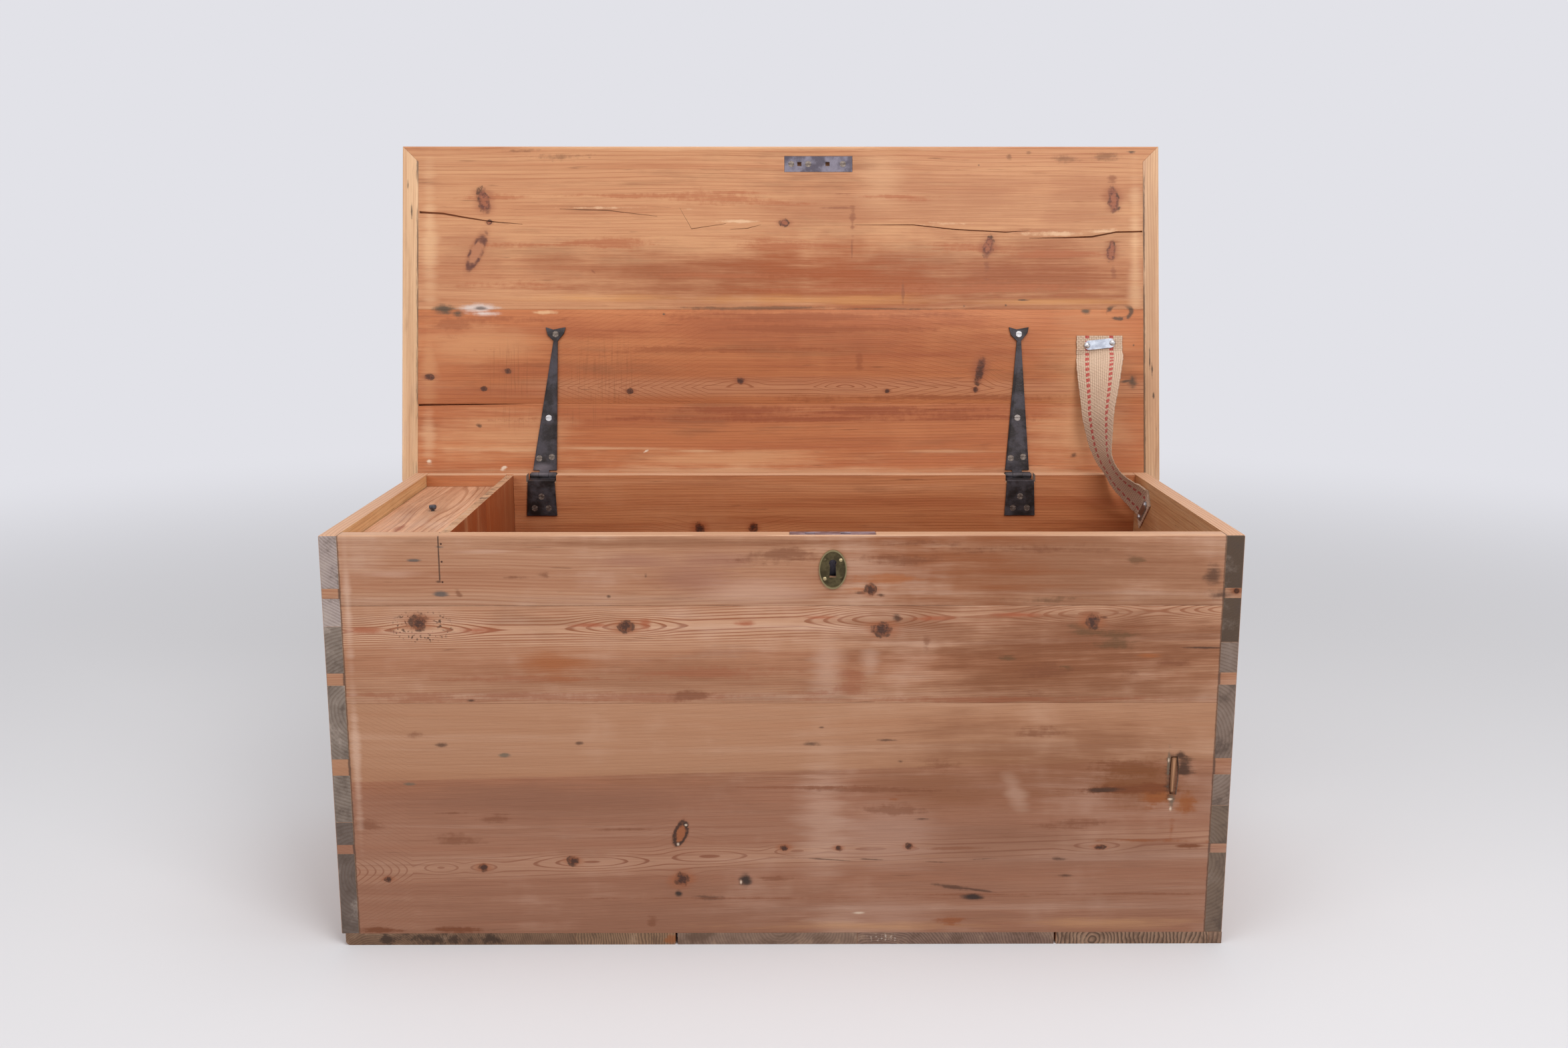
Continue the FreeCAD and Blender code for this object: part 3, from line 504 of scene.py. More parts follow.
# Deeper, more orange inside of the front: partly the wood's own colour, partly painted shade inside the
# box.
inner_tint_and_shade = (0.98, 0.76, 0.56, 1.0)
front_streak = tone(152, 92, 60)
brown_wash = tone(130, 80, 50)
brown = tone(116, 66, 39)
dark_brown = tone(70, 42, 27)
orange = tone(168, 98, 52)
olive = tone(96, 66, 38)
mauve = tone(150, 100, 82)
iron_grey = tone(92, 82, 76)
knot_inner = tone(60, 33, 23)
knot_outer = tone(128, 74, 46)
knot_halo = tone(150, 84, 48)


def corner_shade(board):
    """Dirt in the joint between the front and the tails of the ends."""
    past = abs(board.u) + board.ragged * 0.0022 - corner_joint
    dirt = board.step(past, -0.0024, -0.0004) * board.step(past, 0.0025, 0.0005)
    board.lay(dirt * 0.75, tone(66, 46, 36))


def front_board(board, gloss=0.5):
    """What all three boards share: a painted highlight along the left edge, dirty corner joints, aged
    inside with painted shade, grey ends.
    """
    # Pale line along the left edge: painted highlight.
    board.wash(chalk, 0.45, (-517, 440, 6, 90), (-517, 240, 6, 110))
    corner_shade(board)
    board.aged_face_and_painted_light("y", 1, inner_tint_and_shade)
    board.grey_ends(tone(148, 126, 114))
    return board.seal(gloss)


# %% Upper front board
till_nails_at = -0.4062
nail_line_foot = 0.465
upper_joint = 0.4342
upper = Board("front_upper_pine", "xzy", 1.7, front_early, front_late, front_face)
upper.grow((0.36, -0.14), 0.0032, 0.42, 0.2)
upper.age(0.42, front_streak, haze_and_reflection=0.3)
upper.wash(brown_wash, 0.66, (360, 480, 260, 80), (0, 511, 500, 8))
upper.wash(mauve, 0.5, (-108, 466, 60, 20), (-78, 492, 50, 12), (-180, 490, 60, 12))
upper.wash(tone(138, 76, 38), 0.85, (160, 485, 150, 90))
upper.wash(tone(200, 160, 138), 0.45, (-20, 455, 70, 20), (-464, 474, 50, 6), (-357, 500, 40, 3))
upper.stain(brown, 0.65, (2, 496, 50, 12), (158, 510, 50, 4), (202, 508, 20, 5), (137, 488, 50, 8),
    (260, 503, 100, 5), (-318, 469.5, 22, 3), (-282, 472, 10, 4), (-385, 450, 3, 5, 30),
    (118, 447, 8, 3, -20))
upper.stain(orange, 0.55, (128, 466, 34, 9), (90, 455, 16, 4))
upper.stain(olive, 0.62, (313, 442, 45, 5.5), (418, 490, 11, 6))
upper.stain(dark_brown, 0.75, (512, 473, 9, 12), (523, 447, 20, 6), (-206, 445.8, 3, 2),
    (-162, 470.8, 2.5, 3), (-407, 464, 4, 2), (95, 450, 8, 2.2), (118, 447.5, 7, 2.5), run=0.7)
upper.stain(iron_grey, 0.9, (-406, 449.5, 8.5, 3.5), (-435, 490, 8, 1.8), (-405, 506, 6, 2), run=0.6)
upper.stain(tone(120, 62, 28), 0.9, (541, 452, 9, 7), run=0.5)
upper.knot(knot_inner, knot_outer, knot_halo, (105, 453.5, 6.5, 8.5, 15))
nail_line = upper.step(abs(upper.u - till_nails_at) + upper.ragged * 0.0006, 0.0011, 0.0006)
above_foot = upper.step(upper.v, nail_line_foot - 0.002, nail_line_foot + 0.002)
upper.lay(nail_line * above_foot * 0.85, tone(66, 42, 30))
joint_dirt = upper.step(upper.v + upper.ragged * 0.0012, upper_joint + 0.001, upper_joint)
upper.lay(joint_dirt * upper.step(upper.smear, -0.05, 0.06) * 0.7, dark_brown)
upper.rubbed_and_lit_rim(rubbed_and_lit_rim_tone)
dress(front_board(upper), "front_board_upper")
print("upper front board dressed")

# %% Middle front board
middle_eyes = [
    (-434, 408, 100, 26, 3), (-188, 411.5, 85, 22, 3), (112, 418, 100, 28, 4), (366, 424, 100, 28, 4),
    (585, 428, 170, 28, 6), (-560, 403.5, 100, 18, 3),
]
middle = Board("front_middle_pine", "xzy", 4.1, front_early, front_late, front_face)
middle.grow((0.4155, front_face + 0.006), 0.0031, 1.0, 0.030, flame=0.006, lean=0.0215,
    eyes=middle_eyes, pale=0.3)
middle.age(0.46, front_streak, haze_and_reflection=0.26)
middle.wash(tone(124, 72, 40), 0.85, (360, 360, 250, 75))
middle.wash(brown_wash, 0.4, (-200, 345, 400, 30))
middle.wash(tone(120, 68, 38), 0.62, (150, 410, 150, 65), (360, 400, 240, 50))
middle.wash(chalk, 0.3, (55, 362, 22, 50), (106, 365, 14, 22))
middle.stain(tone(150, 86, 56), 0.55, (-440, 320, 85, 8), (-147, 321.6, 170, 7), (250, 318, 220, 4),
    (-87, 351, 100, 6), (-330, 345, 120, 5), (84, 343, 20, 20))
middle.stain(tone(156, 82, 50), 0.8, (45, 420, 24, 3.2), (-231, 411, 24, 3.2), (-164, 412, 8, 8),
    (-44, 412.6, 14, 4), (-363, 404.5, 30, 4.5), (-499, 405, 26, 5.5), (181, 419, 30, 4),
    (281, 423, 35, 4), run=0.45)
middle.wash(tone(154, 86, 42), 0.75, (-272, 363, 60, 26), (440, 372.5, 16, 4))
middle.stain(brown, 0.6, (-109, 323.6, 25, 8), (320, 356, 34, 14), (307, 327, 30, 6), (419, 350, 18, 5),
    (173, 387.5, 5, 7), (468, 363.6, 22, 3.5))
middle.stain(olive, 0.72, (360, 404, 20, 8), (402, 391, 24, 11), (271, 369, 10, 4), (339, 359, 10, 4))
crumbs = middle.step(abs(middle.spot((-430, 409, 30, 16)) - 0.9), 0.5, 0.1)
crumbs = crumbs * middle.step(middle.noise(middle.at, 300.0, 2.0), 0.56, 0.63)
middle.lay(crumbs * 0.85, dark_brown)
middle.stain(dark_brown, 0.85, (137, 420, 6, 5), (504, 382, 20, 1.4), (-375, 317, 5, 1.6),
    (385, 419.5, 5, 2), run=0.7)
middle.knot(knot_inner, knot_outer, knot_halo, (-434, 414.5, 10.5, 10.5), (-187, 409, 9, 8),
    (119, 405, 12, 9), (370, 414.5, 9.5, 9))
dress(front_board(middle), "front_board_middle")
print("middle front board dressed,", len(middle_eyes), "eyes")

# %% Lower front board, rings and washes
lower_eyes = [
    (-421, 103.4, 36, 13, 1.7), (-368, 103, 30, 12, 1.2), (-235, 111, 105, 19, 2.6),
    (-90, 118, 85, 18, 2), (15, 125, 50, 12, 2), (105, 128, 100, 13, 2), (-125, 146, 50, 30, 1.5),
    (-124, 87, 50, 20, 1.2), (390, 128, 60, 14, 1.5),
]
sap_edge = 0.2255
sap_slope = 0.026
# The lower board's ground and late tones are darker than the upper board's: partly its own wood, partly
# painted shade towards the floor.
lower = Board("front_lower_pine", "xzy", 7.9, tone(164, 116, 89), tone(128, 70, 40), front_face)
lower.grow((0.119, front_face + 0.010), 0.0047, 1.0, 0.023, flame=0.005, lean=0.042,
    vees=[(-0.545, -0.455, -0.5)], eyes=lower_eyes, pale=0.42)
lower.age(0.46, front_streak, haze_and_reflection=0.3)
sap_line = lower.v - lower.u * sap_slope + lower.ragged * 0.002
lower.lay(lower.step(sap_line, sap_edge, sap_edge + 0.0037) * 0.5, tone(178, 132, 98))
lower.lay(lower.step(sap_line, sap_edge, sap_edge - 0.0255) * 0.4, tone(140, 96, 76))
lower.wash(brown_wash, 0.75, (330, 235, 240, 80), (193, 205, 120, 45))
# The first, wide mark of this wash darkens the whole bottom edge, partly painted shade towards the floor;
# the other two are darker patches.
lower.wash(tone(132, 88, 66), 0.55, (-50, 20, 600, 90), (-300, 190, 240, 30), (300, 130, 240, 50))
lower.wash(chalk, 0.28, (50, 160, 35, 110), (284, 200.6, 14, 34, 24), (70, 30, 50, 30))
lower.wash(tone(196, 158, 138), 0.32, (130, 145, 70, 50), (130, 35, 70, 40))
lower.wash(tone(188, 140, 100), 0.6, (391, 28, 134, 8), (100, 24, 200, 7))
print("lower front board grown,", len(lower_eyes), "eyes")

# %% Lower front board, stains
lower.stain(brown, 0.6, (-351, 167.5, 20, 8), (-403, 173.3, 26, 2.5), (-401, 138, 30, 8),
    (-506, 158, 16, 6), (-444, 275.4, 16, 5), (-179, 152.4, 45, 2.2), (193, 232, 30, 10),
    (141, 177, 45, 8), (130, 203, 90, 4), (307, 275, 30, 6), (349, 158.7, 40, 6), (424, 228, 45, 15),
    (-10, 87, 20, 3), (-162, 28.3, 6, 10))
lower.stain(dark_brown, 0.75, (126, 266.6, 13, 2), (34, 261.7, 12, 3), (47, 282.7, 5, 1.5),
    (144, 239, 5, 2.5), (-413, 260.5, 8, 3), (-246, 263.4, 5, 2), (171, 165, 12, 2),
    (54, 112.5, 36, 1.1, -4), (108, 112.5, 18, 1.1, -3), (188, 109, 27, 1.2, -3),
    (245, 112.6, 23, 1.2, 3), (209, 76, 24, 2.8, -8), (340, 113.5, 10, 3), (350, 90.6, 14, 3),
    (-90, 62, 24, 4.5), (240, 72, 30, 1.6, -8), run=0.75)
lower.stain(tone(126, 72, 44), 0.6, (-100, 61.5, 300, 1.3), (150, 195.7, 30, 1.4), (310, 66, 200, 1.4),
    (213, 126.7, 32, 1.8), (20, 206, 100, 1.4))
rust_cloud = lower.spot((435, 213, 68, 36)) + lower.smear * 1.2 + lower.ragged * 0.6
lower.lay(lower.step(rust_cloud, 1.15, 0.2) * 0.85, tone(120, 68, 30))
rust_foot = lower.nearest([(458, 195, 24, 18), (494, 183, 18, 17)])
lower.lay(lower.step(rust_foot + lower.smear * 1.5 + lower.ragged, 1.15, 0.3) * 0.85, tone(142, 78, 30))
lower.stain(tone(138, 74, 34), 0.7, (137, 191, 9, 2), (210, 29.7, 14, 6), (460, 136, 70, 2.6),
    (497, 180, 12, 10), (478, 150, 4, 16), (455, 186, 12, 9))
lower.stain(tone(112, 58, 26), 0.85, (411, 201.5, 62, 5), (455, 205, 20, 10), (-406, 20.6, 30, 5),
    (-500, 21, 22, 4), (501, 129, 14, 2.5))
lower.stain(tone(66, 40, 24), 0.92, (489, 232, 12, 16, 12), (390, 201.6, 22, 3.5), (484, 247, 8, 7),
    (474.5, 222, 7.5, 34), run=0.7)
lower.stain(tone(104, 90, 74), 0.85, (470.5, 236, 2.2, 24), (476.5, 186, 4.5, 12), (-337, 248, 6, 3.6),
    (-454, 211.2, 8, 2.2), run=0.6)
print("lower front board stained")

# %% Lower front board, knots
lower.knot(knot_inner, knot_outer, knot_halo, (-124, 87, 8.8, 10.5, 12), (-368, 103, 6, 5.2),
    (-257, 111, 7.5, 6.8), (-486, 87.5, 5.2, 3.6), (3, 127.5, 5.2, 4.2), (69, 127.4, 4.5, 3.6),
    (156, 130, 4.8, 4.2), (391, 128, 7, 3.5))
hollow = lower.spot((-125, 146, 6.8, 14.5, -18)) + lower.ragged * 1.3
lower.lay(lower.step(hollow, 1.8, 0.6) * 0.6, knot_halo)
lower.lay(lower.step(hollow, 1.05, 0.7) * 0.8, tone(146, 84, 48))
bitten = lower.step(lower.noise(lower.at, 65.0, 2.0), 0.38, 0.56) * 0.85 + 0.15
lower.lay(lower.step(abs(hollow - 0.95), 0.48, 0.1) * bitten * 0.92, tone(50, 30, 22))
lower.stain(tone(44, 31, 25), 0.95, (-45, 86, 9.2, 11.2), (-128, 68, 5.2, 5.2), (-118, 158, 4, 4),
    (236, 63, 14, 4.2), run=0.5)
lower.stain(tone(214, 190, 168), 0.9, (-118, 157.5, 2, 2), (-128, 132.5, 2.2, 2.2), (-51, 83, 1.6, 2.8),
    (94, 41.7, 9, 1.8), (475.5, 178, 2.2, 4), (474.5, 190, 3, 1.8), (470.5, 240, 1.2, 3), run=0.5)
dress(front_board(lower), "front_board_lower")
print("lower front board dressed")

# %% [markdown]
# ## The lid
# The inside of the lid never saw polish, only hands and linen, so it is warmer and more orange
# than the outside. Its patterns are laid out on the lid's own plane: distance along the chest
# and distance up from the hinge pins, in millimetres again.

# %% What the lid boards share
lid_face = 0.006
lid_early = tone(203, 146, 104)
lid_late = tone(160, 92, 56)
lid_red = tone(172, 100, 62)
lid_end = tone(176, 140, 110)
purple_brown = tone(92, 50, 40)
lid_halo = tone(150, 84, 54)
lid_pale = tone(222, 168, 120)
ring_fade = (0.2605, 0.251)


def joint_marks(board):
    """Old paint, a tin's ring and dirt, which lie across the joint of the front and middle lid boards."""
    board.stain(tone(112, 78, 54), 0.7, (-30, 253.5, 120, 3.2), (160, 251.5, 100, 2))
    board.stain(tone(70, 60, 46), 0.9, (-507, 250.5, 19, 10), (-488, 245, 12, 7), run=0.6)
    board.stain(tone(216, 196, 186), 0.95, (-457, 252, 30, 9), (-446, 245, 28, 5), run=0.5)
    board.stain(tone(112, 98, 92), 0.9, (-453, 252.5, 9, 3.6), run=0.5)
    ring = board.spot((512, 248, 18.5, 12.5)) + board.ragged * 0.35
    left = board.step(board.noise(board.at, 90.0, 2.0), 0.38, 0.52) * board.step(board.v, *ring_fade)
    board.lay(board.step(abs(ring - 0.9), 0.3, 0.08) * left * 0.85, tone(72, 54, 40))


# %% Front lid board
lid_front = Board("lid_front_pine", "xzy", 2.3, lid_early, lid_late, lid_face, True)
lid_front.grow((0.62, 0.16), 0.0042, 0.42, 0.3)
lid_front.age(0.5, lid_red, haze_and_reflection=0.18, pale=lid_pale)
lid_front.wash(tone(146, 76, 38), 0.85, (60, 300, 560, 55), (360, 300, 240, 80))
lid_front.wash(tone(160, 80, 34), 0.72, (90, 300, 180, 100))
lid_front.wash(tone(174, 114, 78), 0.66, (300, 410, 250, 60), (450, 410, 160, 60), (80, 400, 140, 40))
lid_front.wash(tone(166, 104, 70), 0.5, (-460, 345, 60, 40))
lid_front.wash(tone(224, 178, 136), 0.6, (-530, 370, 14, 130), (535, 350, 12, 140), (0, 497, 560, 6))
lid_front.wash(tone(218, 168, 126), 0.45, (150, 455, 40, 60))
lid_front.stain(lid_red, 0.75, (-439, 420.5, 65, 5), (-259, 423.4, 95, 4.5), (-405, 348, 90, 3.5),
    (-405, 290.6, 90, 7), (-247, 351, 85, 8), (-90, 420, 90, 11), (-3, 349, 70, 8),
    (-80, 302.5, 100, 5), (109, 283, 130, 6.5), (190, 421, 50, 5), (328, 282, 150, 9),
    (268, 344, 60, 8), (420, 335, 100, 5))
lid_front.wash(tone(214, 152, 92), 0.55, (32, 265, 200, 9), (-300, 268, 160, 8), (400, 262, 120, 6))
lid_front.stain(tone(120, 76, 48), 0.62, (-399, 490.7, 36, 3.5), (-333, 480, 55, 6),
    (-289, 481, 5, 5, -40), (428, 478.5, 20, 7), (491, 483, 22, 6), (345, 482, 5, 6), (375, 490, 6, 5))
lid_front.stain(tone(138, 80, 52), 0.65, (108, 382, 4, 26), (107, 336, 1.3, 21), (184, 278, 1.8, 19),
    (310, 316, 6, 14), (501, 447, 7, 10), (95, 426, 20, 1.4), (85, 404.6, 20, 1.5),
    (-283, 308, 5, 1.6, -40), (502, 310, 5, 12))
lid_front.stain(tone(70, 58, 48), 0.8, (529, 489, 7, 3), (365, 265.2, 8, 1.2), (276, 255.8, 2, 1.8),
    (339, 257.6, 2, 1.8), (299, 469, 2, 1.8))
lid_front.stain(tone(226, 184, 146), 0.8, (254, 380.5, 45, 3), (425, 364.5, 55, 3.6), (485, 369, 28, 4),
    (-140, 403.5, 18, 2.2), (-260, 404.5, 70, 2.2), (-60, 384, 30, 2))
print("front lid board grown and stained")

# %% Front lid board, knots
lid_front.knot(tone(154, 90, 62), purple_brown, lid_halo, (-448, 415, 8.5, 20, 14),
    (313, 345.5, 7.8, 16.5, -14), (502, 416, 7.8, 21, 4), (499, 339, 6.8, 15.5, -8), (5, 382, 7, 6),
    (-440, 383, 3.6, 3.6))
slit = lid_front.spot((-459, 339, 8.2, 26, -24)) + lid_front.ragged * 0.5
lid_front.lay(lid_front.step(slit, 1.9, 0.6) * 0.65, lid_halo)
lid_front.lay(lid_front.step(slit, 1.1, 0.9) * 0.85, tone(178, 118, 84))
broken = lid_front.step(lid_front.noise(lid_front.at, 55.0, 2.0), 0.4, 0.55)
lid_front.lay(lid_front.step(abs(slit - 1.0), 0.4, 0.08) * broken * 0.9, purple_brown)
lid_front.stain(purple_brown, 0.8, (-450, 357, 6, 9), (-466, 318, 4, 4), run=0.6)
lid_front.stain(bark, 0.95, (27.8, 471, 6, 6), (70.3, 471, 6, 6), run=0.2)
joint_marks(lid_front)
lid_front.grey_ends(lid_end)
dress(lid_front.seal(0.46), "lid_board_front")
print("front lid board dressed")

# %% Middle lid board
deep_early = tone(187, 111, 66)
deep_pale = tone(206, 136, 88)
deep_late = tone(146, 76, 40)
deep_red = tone(160, 82, 46)
saw_brown = tone(134, 78, 42)


def saw_marks(board, edge, low, share):
    """Fine strokes of an old saw, across the grain."""
    strokes = board.noise(board.scaled(board.fibre, (380, 14, 14)), 1.0, 3.0, 0.6)
    board.lay(board.step(edge, 1.0, 0.3) * board.step(strokes, low, low + 0.2) * share, saw_brown)


lid_middle = Board("lid_middle_pine", "xzy", 5.6, deep_early, deep_late, lid_face, True)
lid_middle.grow((0.134, lid_face), 0.0056, 0.85, 0.020, flame=0.003,
    vees=[(-0.34, -0.11, 0.36), (0.16, 0.36, -0.2)],
    eyes=[(97, 138, 64, 19, 3.0), (-62, 141, 50, 14, 1.5), (300, 158, 40, 30, 2)], pale=0.25)
lid_middle.wash(deep_early, 0.9, (-460, 134, 130, 50))
lid_middle.age(0.5, deep_red, haze_and_reflection=0.16, pale=deep_pale)
lid_middle.wash(tone(150, 76, 40), 0.5, (280, 200, 140, 50))
lid_middle.wash(tone(154, 78, 44), 0.55, (0, 225, 500, 30), (90, 210, 200, 70))
lid_middle.wash(tone(208, 150, 104), 0.55, (-530, 170, 16, 70), (470, 170, 90, 100), (-460, 200, 120, 40))
lid_middle.stain(deep_late, 0.6, (32, 240.6, 220, 7), (-428, 236, 90, 7), (110, 221, 280, 6),
    (-100, 190, 200, 5), (118, 176, 5, 18), (-495, 228, 30, 14), (200, 118, 200, 5))
lid_middle.stain(tone(78, 66, 52), 0.88, (522, 143, 14, 3, 10), (460, 248.5, 7, 4), (532, 197, 2, 2),
    (-177, 244, 2, 1.5), (530, 145.5, 10, 12), run=0.7)
lid_middle.stain(tone(222, 176, 132), 0.8, (-358, 246.6, 16, 3))
lid_middle.knot(tone(72, 40, 28), tone(112, 62, 42), lid_halo, (-530, 149.5, 7, 5), (-412, 158, 5, 4),
    (-448, 131, 4.8, 3.8), (-228, 128, 4.8, 4), (-61, 143, 6.2, 5.8), (293, 129.6, 4, 4.8),
    (160, 127.8, 4, 3.4), (300, 159, 7.5, 21, -14))
sawn = lid_middle.nearest([(-265, 155, 80, 75), (-410, 150, 50, 60)]) + lid_middle.smear
saw_marks(lid_middle, sawn, 0.48, 0.38)
joint_marks(lid_middle)
lid_middle.grey_ends(lid_end)
dress(lid_middle.seal(0.46), "lid_board_middle")
print("middle lid board dressed")

# %% Rear lid board
lid_back = Board("lid_back_pine", "xzy", 8.8, deep_early, deep_late, lid_face, True)
lid_back.grow((-0.12, 0.1), 0.0040, 0.45, 0.25)
lid_back.age(0.5, deep_red, haze_and_reflection=0.2, pale=deep_pale)
lid_back.wash(tone(210, 154, 110), 0.7, (-440, 60, 120, 50), (-80, 26, 260, 16), (460, 65, 100, 55))
lid_back.stain(tone(146, 72, 36), 0.8, (-61, 99.5, 120, 8), (143, 100, 180, 8), (0, 86, 300, 4),
    (350, 90, 100, 4))
lid_back.wash(tone(214, 166, 126), 0.6, (-448, 39, 80, 5), (-251, 41.6, 85, 3), (257, 37, 120, 4),
    (0, 6, 600, 10), (-126, 37.6, 50, 2), (-530, 60, 12, 50))
lid_back.stain(dark_brown, 0.75, (-454, 75, 5, 3, -30), (440, 30, 6, 4))
lid_back.stain(tone(230, 206, 182), 0.9, (-417, 13.2, 5, 3, 40), (-205, 36.5, 5, 1.4, 30), (-530, 22, 4, 4))
saw_marks(lid_back, lid_back.nearest([(-290, 90, 50, 30), (-402, 90, 45, 30)]), 0.5, 0.3)
lid_back.grey_ends(lid_end)
dress(lid_back.seal(0.46), "lid_board_back")
print("rear lid board dressed")

# %% Lid clamps
clamp_joint = 0.5495
clamp = Board("lid_clamp_pine", "zxy", 3.3, tone(224, 182, 142), tone(176, 122, 84), lid_face, True)
clamp.grow((0.62, -0.03), 0.0034, 0.55, 0.2)
clamp.age(0.35, tone(188, 132, 92), haze_and_reflection=0.2)
clamp.wash(tone(184, 138, 106), 0.6, (250, 556, 320, 30))
clamp.stain(tone(54, 40, 30), 0.8, (160, 560, 10, 1.5), (175, 556, 16, 1.2), (70, 566, 10, 1),
    (120, 562, 6, 1.5), (400, -557, 10, 1.2), (440, -562, 6, 2))
past_joint = abs(clamp.v) + clamp.ragged * 0.0022 - clamp_joint
edge_dirt = clamp.step(past_joint, 0.0007, -0.0007)
clamp.lay(edge_dirt * clamp.step(clamp.smear, -0.08, 0.04) * 0.7, tone(58, 40, 30))
clamp.grey_ends(tone(190, 152, 120))
dress(clamp.seal(0.48), "left_lid_clamp", "right_lid_clamp")
print("clamps dressed")

# %% [markdown]
# ## Ends, back, base and till
# These boards show less, but each is still its own plank with its own heart, so a short table
# gives each one its pattern. The ends carry the tails of the dovetails: their grey, weathered
# end grain shows on the front.

# %% A plain plank
side_early = tone(196, 148, 116)
side_late = tone(146, 88, 56)
inner_red = tone(158, 92, 56)


def plank(
    name, axes, heart, ring, seed, knots=(), early=side_early, figure=0.65, band=0.07, face=0.0, wander=0.6
):
    """A plain board with its rings, wear and knots, ready for what is special to it."""
    board = Board(name + "_pine", axes, seed, early, side_late, face)
    eyes = [(x, up, 90, 30, 3) for x, up, *_ in knots]
    board.grow(heart, ring, figure, band, flame=0.02, eyes=eyes, pale=0.2, wander=wander)
    board.age(0.48, inner_red)
    if knots:
        board.knot(knot_inner, knot_outer, knot_halo, *knots)
    return board


# %% Left and right ends
grey_end = tone(142, 126, 116)
# The inner faces of the ends are made lighter: painted light.
left_inside_painted_light = (1.38, 1.62, 1.34, 1.0)
right_inside_painted_light = (1.1, 1.15, 0.95, 1.0)
end_rows = [
    ("left_board_lower", (0.09, -0.52), 0.0044, tone(102, 88, 80), 1, [(-90, 80, 10, 8)]),
    ("left_board_middle", (0.30, -0.50), 0.0042, tone(128, 114, 103), 1, [(120, 310, 12, 10)]),
    ("left_board_upper", (0.62, -0.45), 0.0036, tone(168, 152, 146), 1, []),
    ("right_board_lower", (0.11, 0.51), 0.0044, tone(114, 95, 80), -1, [(70, 100, 10, 9)]),
    ("right_board_middle", (0.27, 0.50), 0.0044, tone(126, 107, 95), -1, [(-110, 280, 11, 8)]),
    ("right_board_upper", (0.62, 0.44), 0.0036, tone(80, 63, 49), -1, []),
]
for row, (name, heart, ring, ends, sign, knots) in enumerate(end_rows):
    board = plank(name, "yzx", heart, ring, 11.3 + row * 1.9, knots)
    board.aged_face_and_painted_light("x", sign, left_inside_painted_light if sign > 0 else right_inside_painted_light)
    board.rubbed_and_lit_rim(rubbed_and_lit_rim_tone)
    board.grey_ends(ends, lit=tone(188, 172, 160) if sign > 0 else grey_end)
    dress(board.seal(), name)
print("dressed", len(end_rows), "boards of the ends")

# %% Back
back_rows = [
    ("back_board_lower", (0.10, 0.21), 0.0046, [(-300, 100, 11, 9), (220, 120, 9, 8)]),
    ("back_board_middle", (0.30, 0.20), 0.0044, [(50, 300, 13, 10), (-420, 290, 10, 9)]),
    ("back_board_upper", (0.70, 0.30), 0.0038, [(-122, 439, 8, 10), (-42, 441, 6.5, 8)]),
]
for row, (name, heart, ring, knots) in enumerate(back_rows):
    board = plank(name, "xzy", heart, ring, 23.1 + row * 2.3, knots, band=0.08)
    # Deeper, more orange inner face of the back: partly the wood's own colour, partly painted shade inside
    # the box.
    board.aged_face_and_painted_light("y", -1, (0.93, 0.62, 0.40, 1.0))
    board.rubbed_and_lit_rim(rubbed_and_lit_rim_tone)
    board.grey_ends(grey_end)
    dress(board.seal(), name)
print("dressed", len(back_rows), "boards of the back")

# %% Base
bar_brown = tone(58, 38, 26)
soil = tone(52, 34, 22)
base_early = tone(178, 132, 102)
base_rows = [
    ("base_board_1", (-0.50, -0.035), 0.0026, tone(120, 90, 68), 0.45),
    ("base_board_2", (-0.42, 0.0), 0.0034, tone(138, 106, 80), 0.6),
    ("base_board_3", (0.0, 0.03), 0.0038, tone(128, 102, 86), 0.3),
    ("base_board_4", (0.12, -0.05), 0.0032, tone(128, 100, 86), 0.45),
    ("base_board_5", (0.385, 0.006), 0.0050, tone(146, 114, 92), 0.8),
    ("base_board_6", (0.385, 0.006), 0.0050, tone(140, 110, 90), 0.6),
]
front_end = -236
base_middle = 0.008
for row, (name, heart, ring, ends, rings) in enumerate(base_rows):
    board = plank(name, "yxz", heart, ring, 31.7 + row * 1.3, early=base_early, band=0.1,
        face=base_middle, wander=3.0)
    board.grey_ends(ends, bar_brown, tone(86, 62, 46), tone(176, 146, 120), rings)
    if name == "base_board_1":
        board.stain(soil, 0.85, (front_end, -430, 20, 45), (front_end, -365, 20, 20),
            (front_end, -490, 20, 12))
    if name == "base_board_2":
        board.stain(tone(140, 80, 40), 0.8, (front_end, -138, 20, 10))
    if name == "base_board_4":
        splash = board.step(board.spot((front_end, 126, 20, 34)), 1.0, 0.4)
        drops = board.step(board.noise(board.at, 330.0, 2.0), 0.58, 0.64)
        board.lay(splash * drops * 0.55, tone(200, 184, 170))
    dress(board.seal(), name)
print("dressed", len(base_rows), "boards of the base")

# %% The till's boards
till_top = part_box("till_lid")[1][2]
till_lid_board = plank("till_lid", "yxz", (-0.47, 0.46), 0.0040, 41.2, early=tone(214, 164, 130),
    band=0.06, face=till_top)
till_lid_board.stain(tone(140, 74, 44), 0.75, (-108, -486, 22, 7), run=0.6)
till_lid_board.grey_ends(lid_end)
dress(till_lid_board.seal(), "till_lid")
till_wall_board = plank("till_wall", "zyx", (0.3, -0.2), 0.0040, 43.9, early=tone(158, 86, 47),
    figure=0.4, band=0.3)
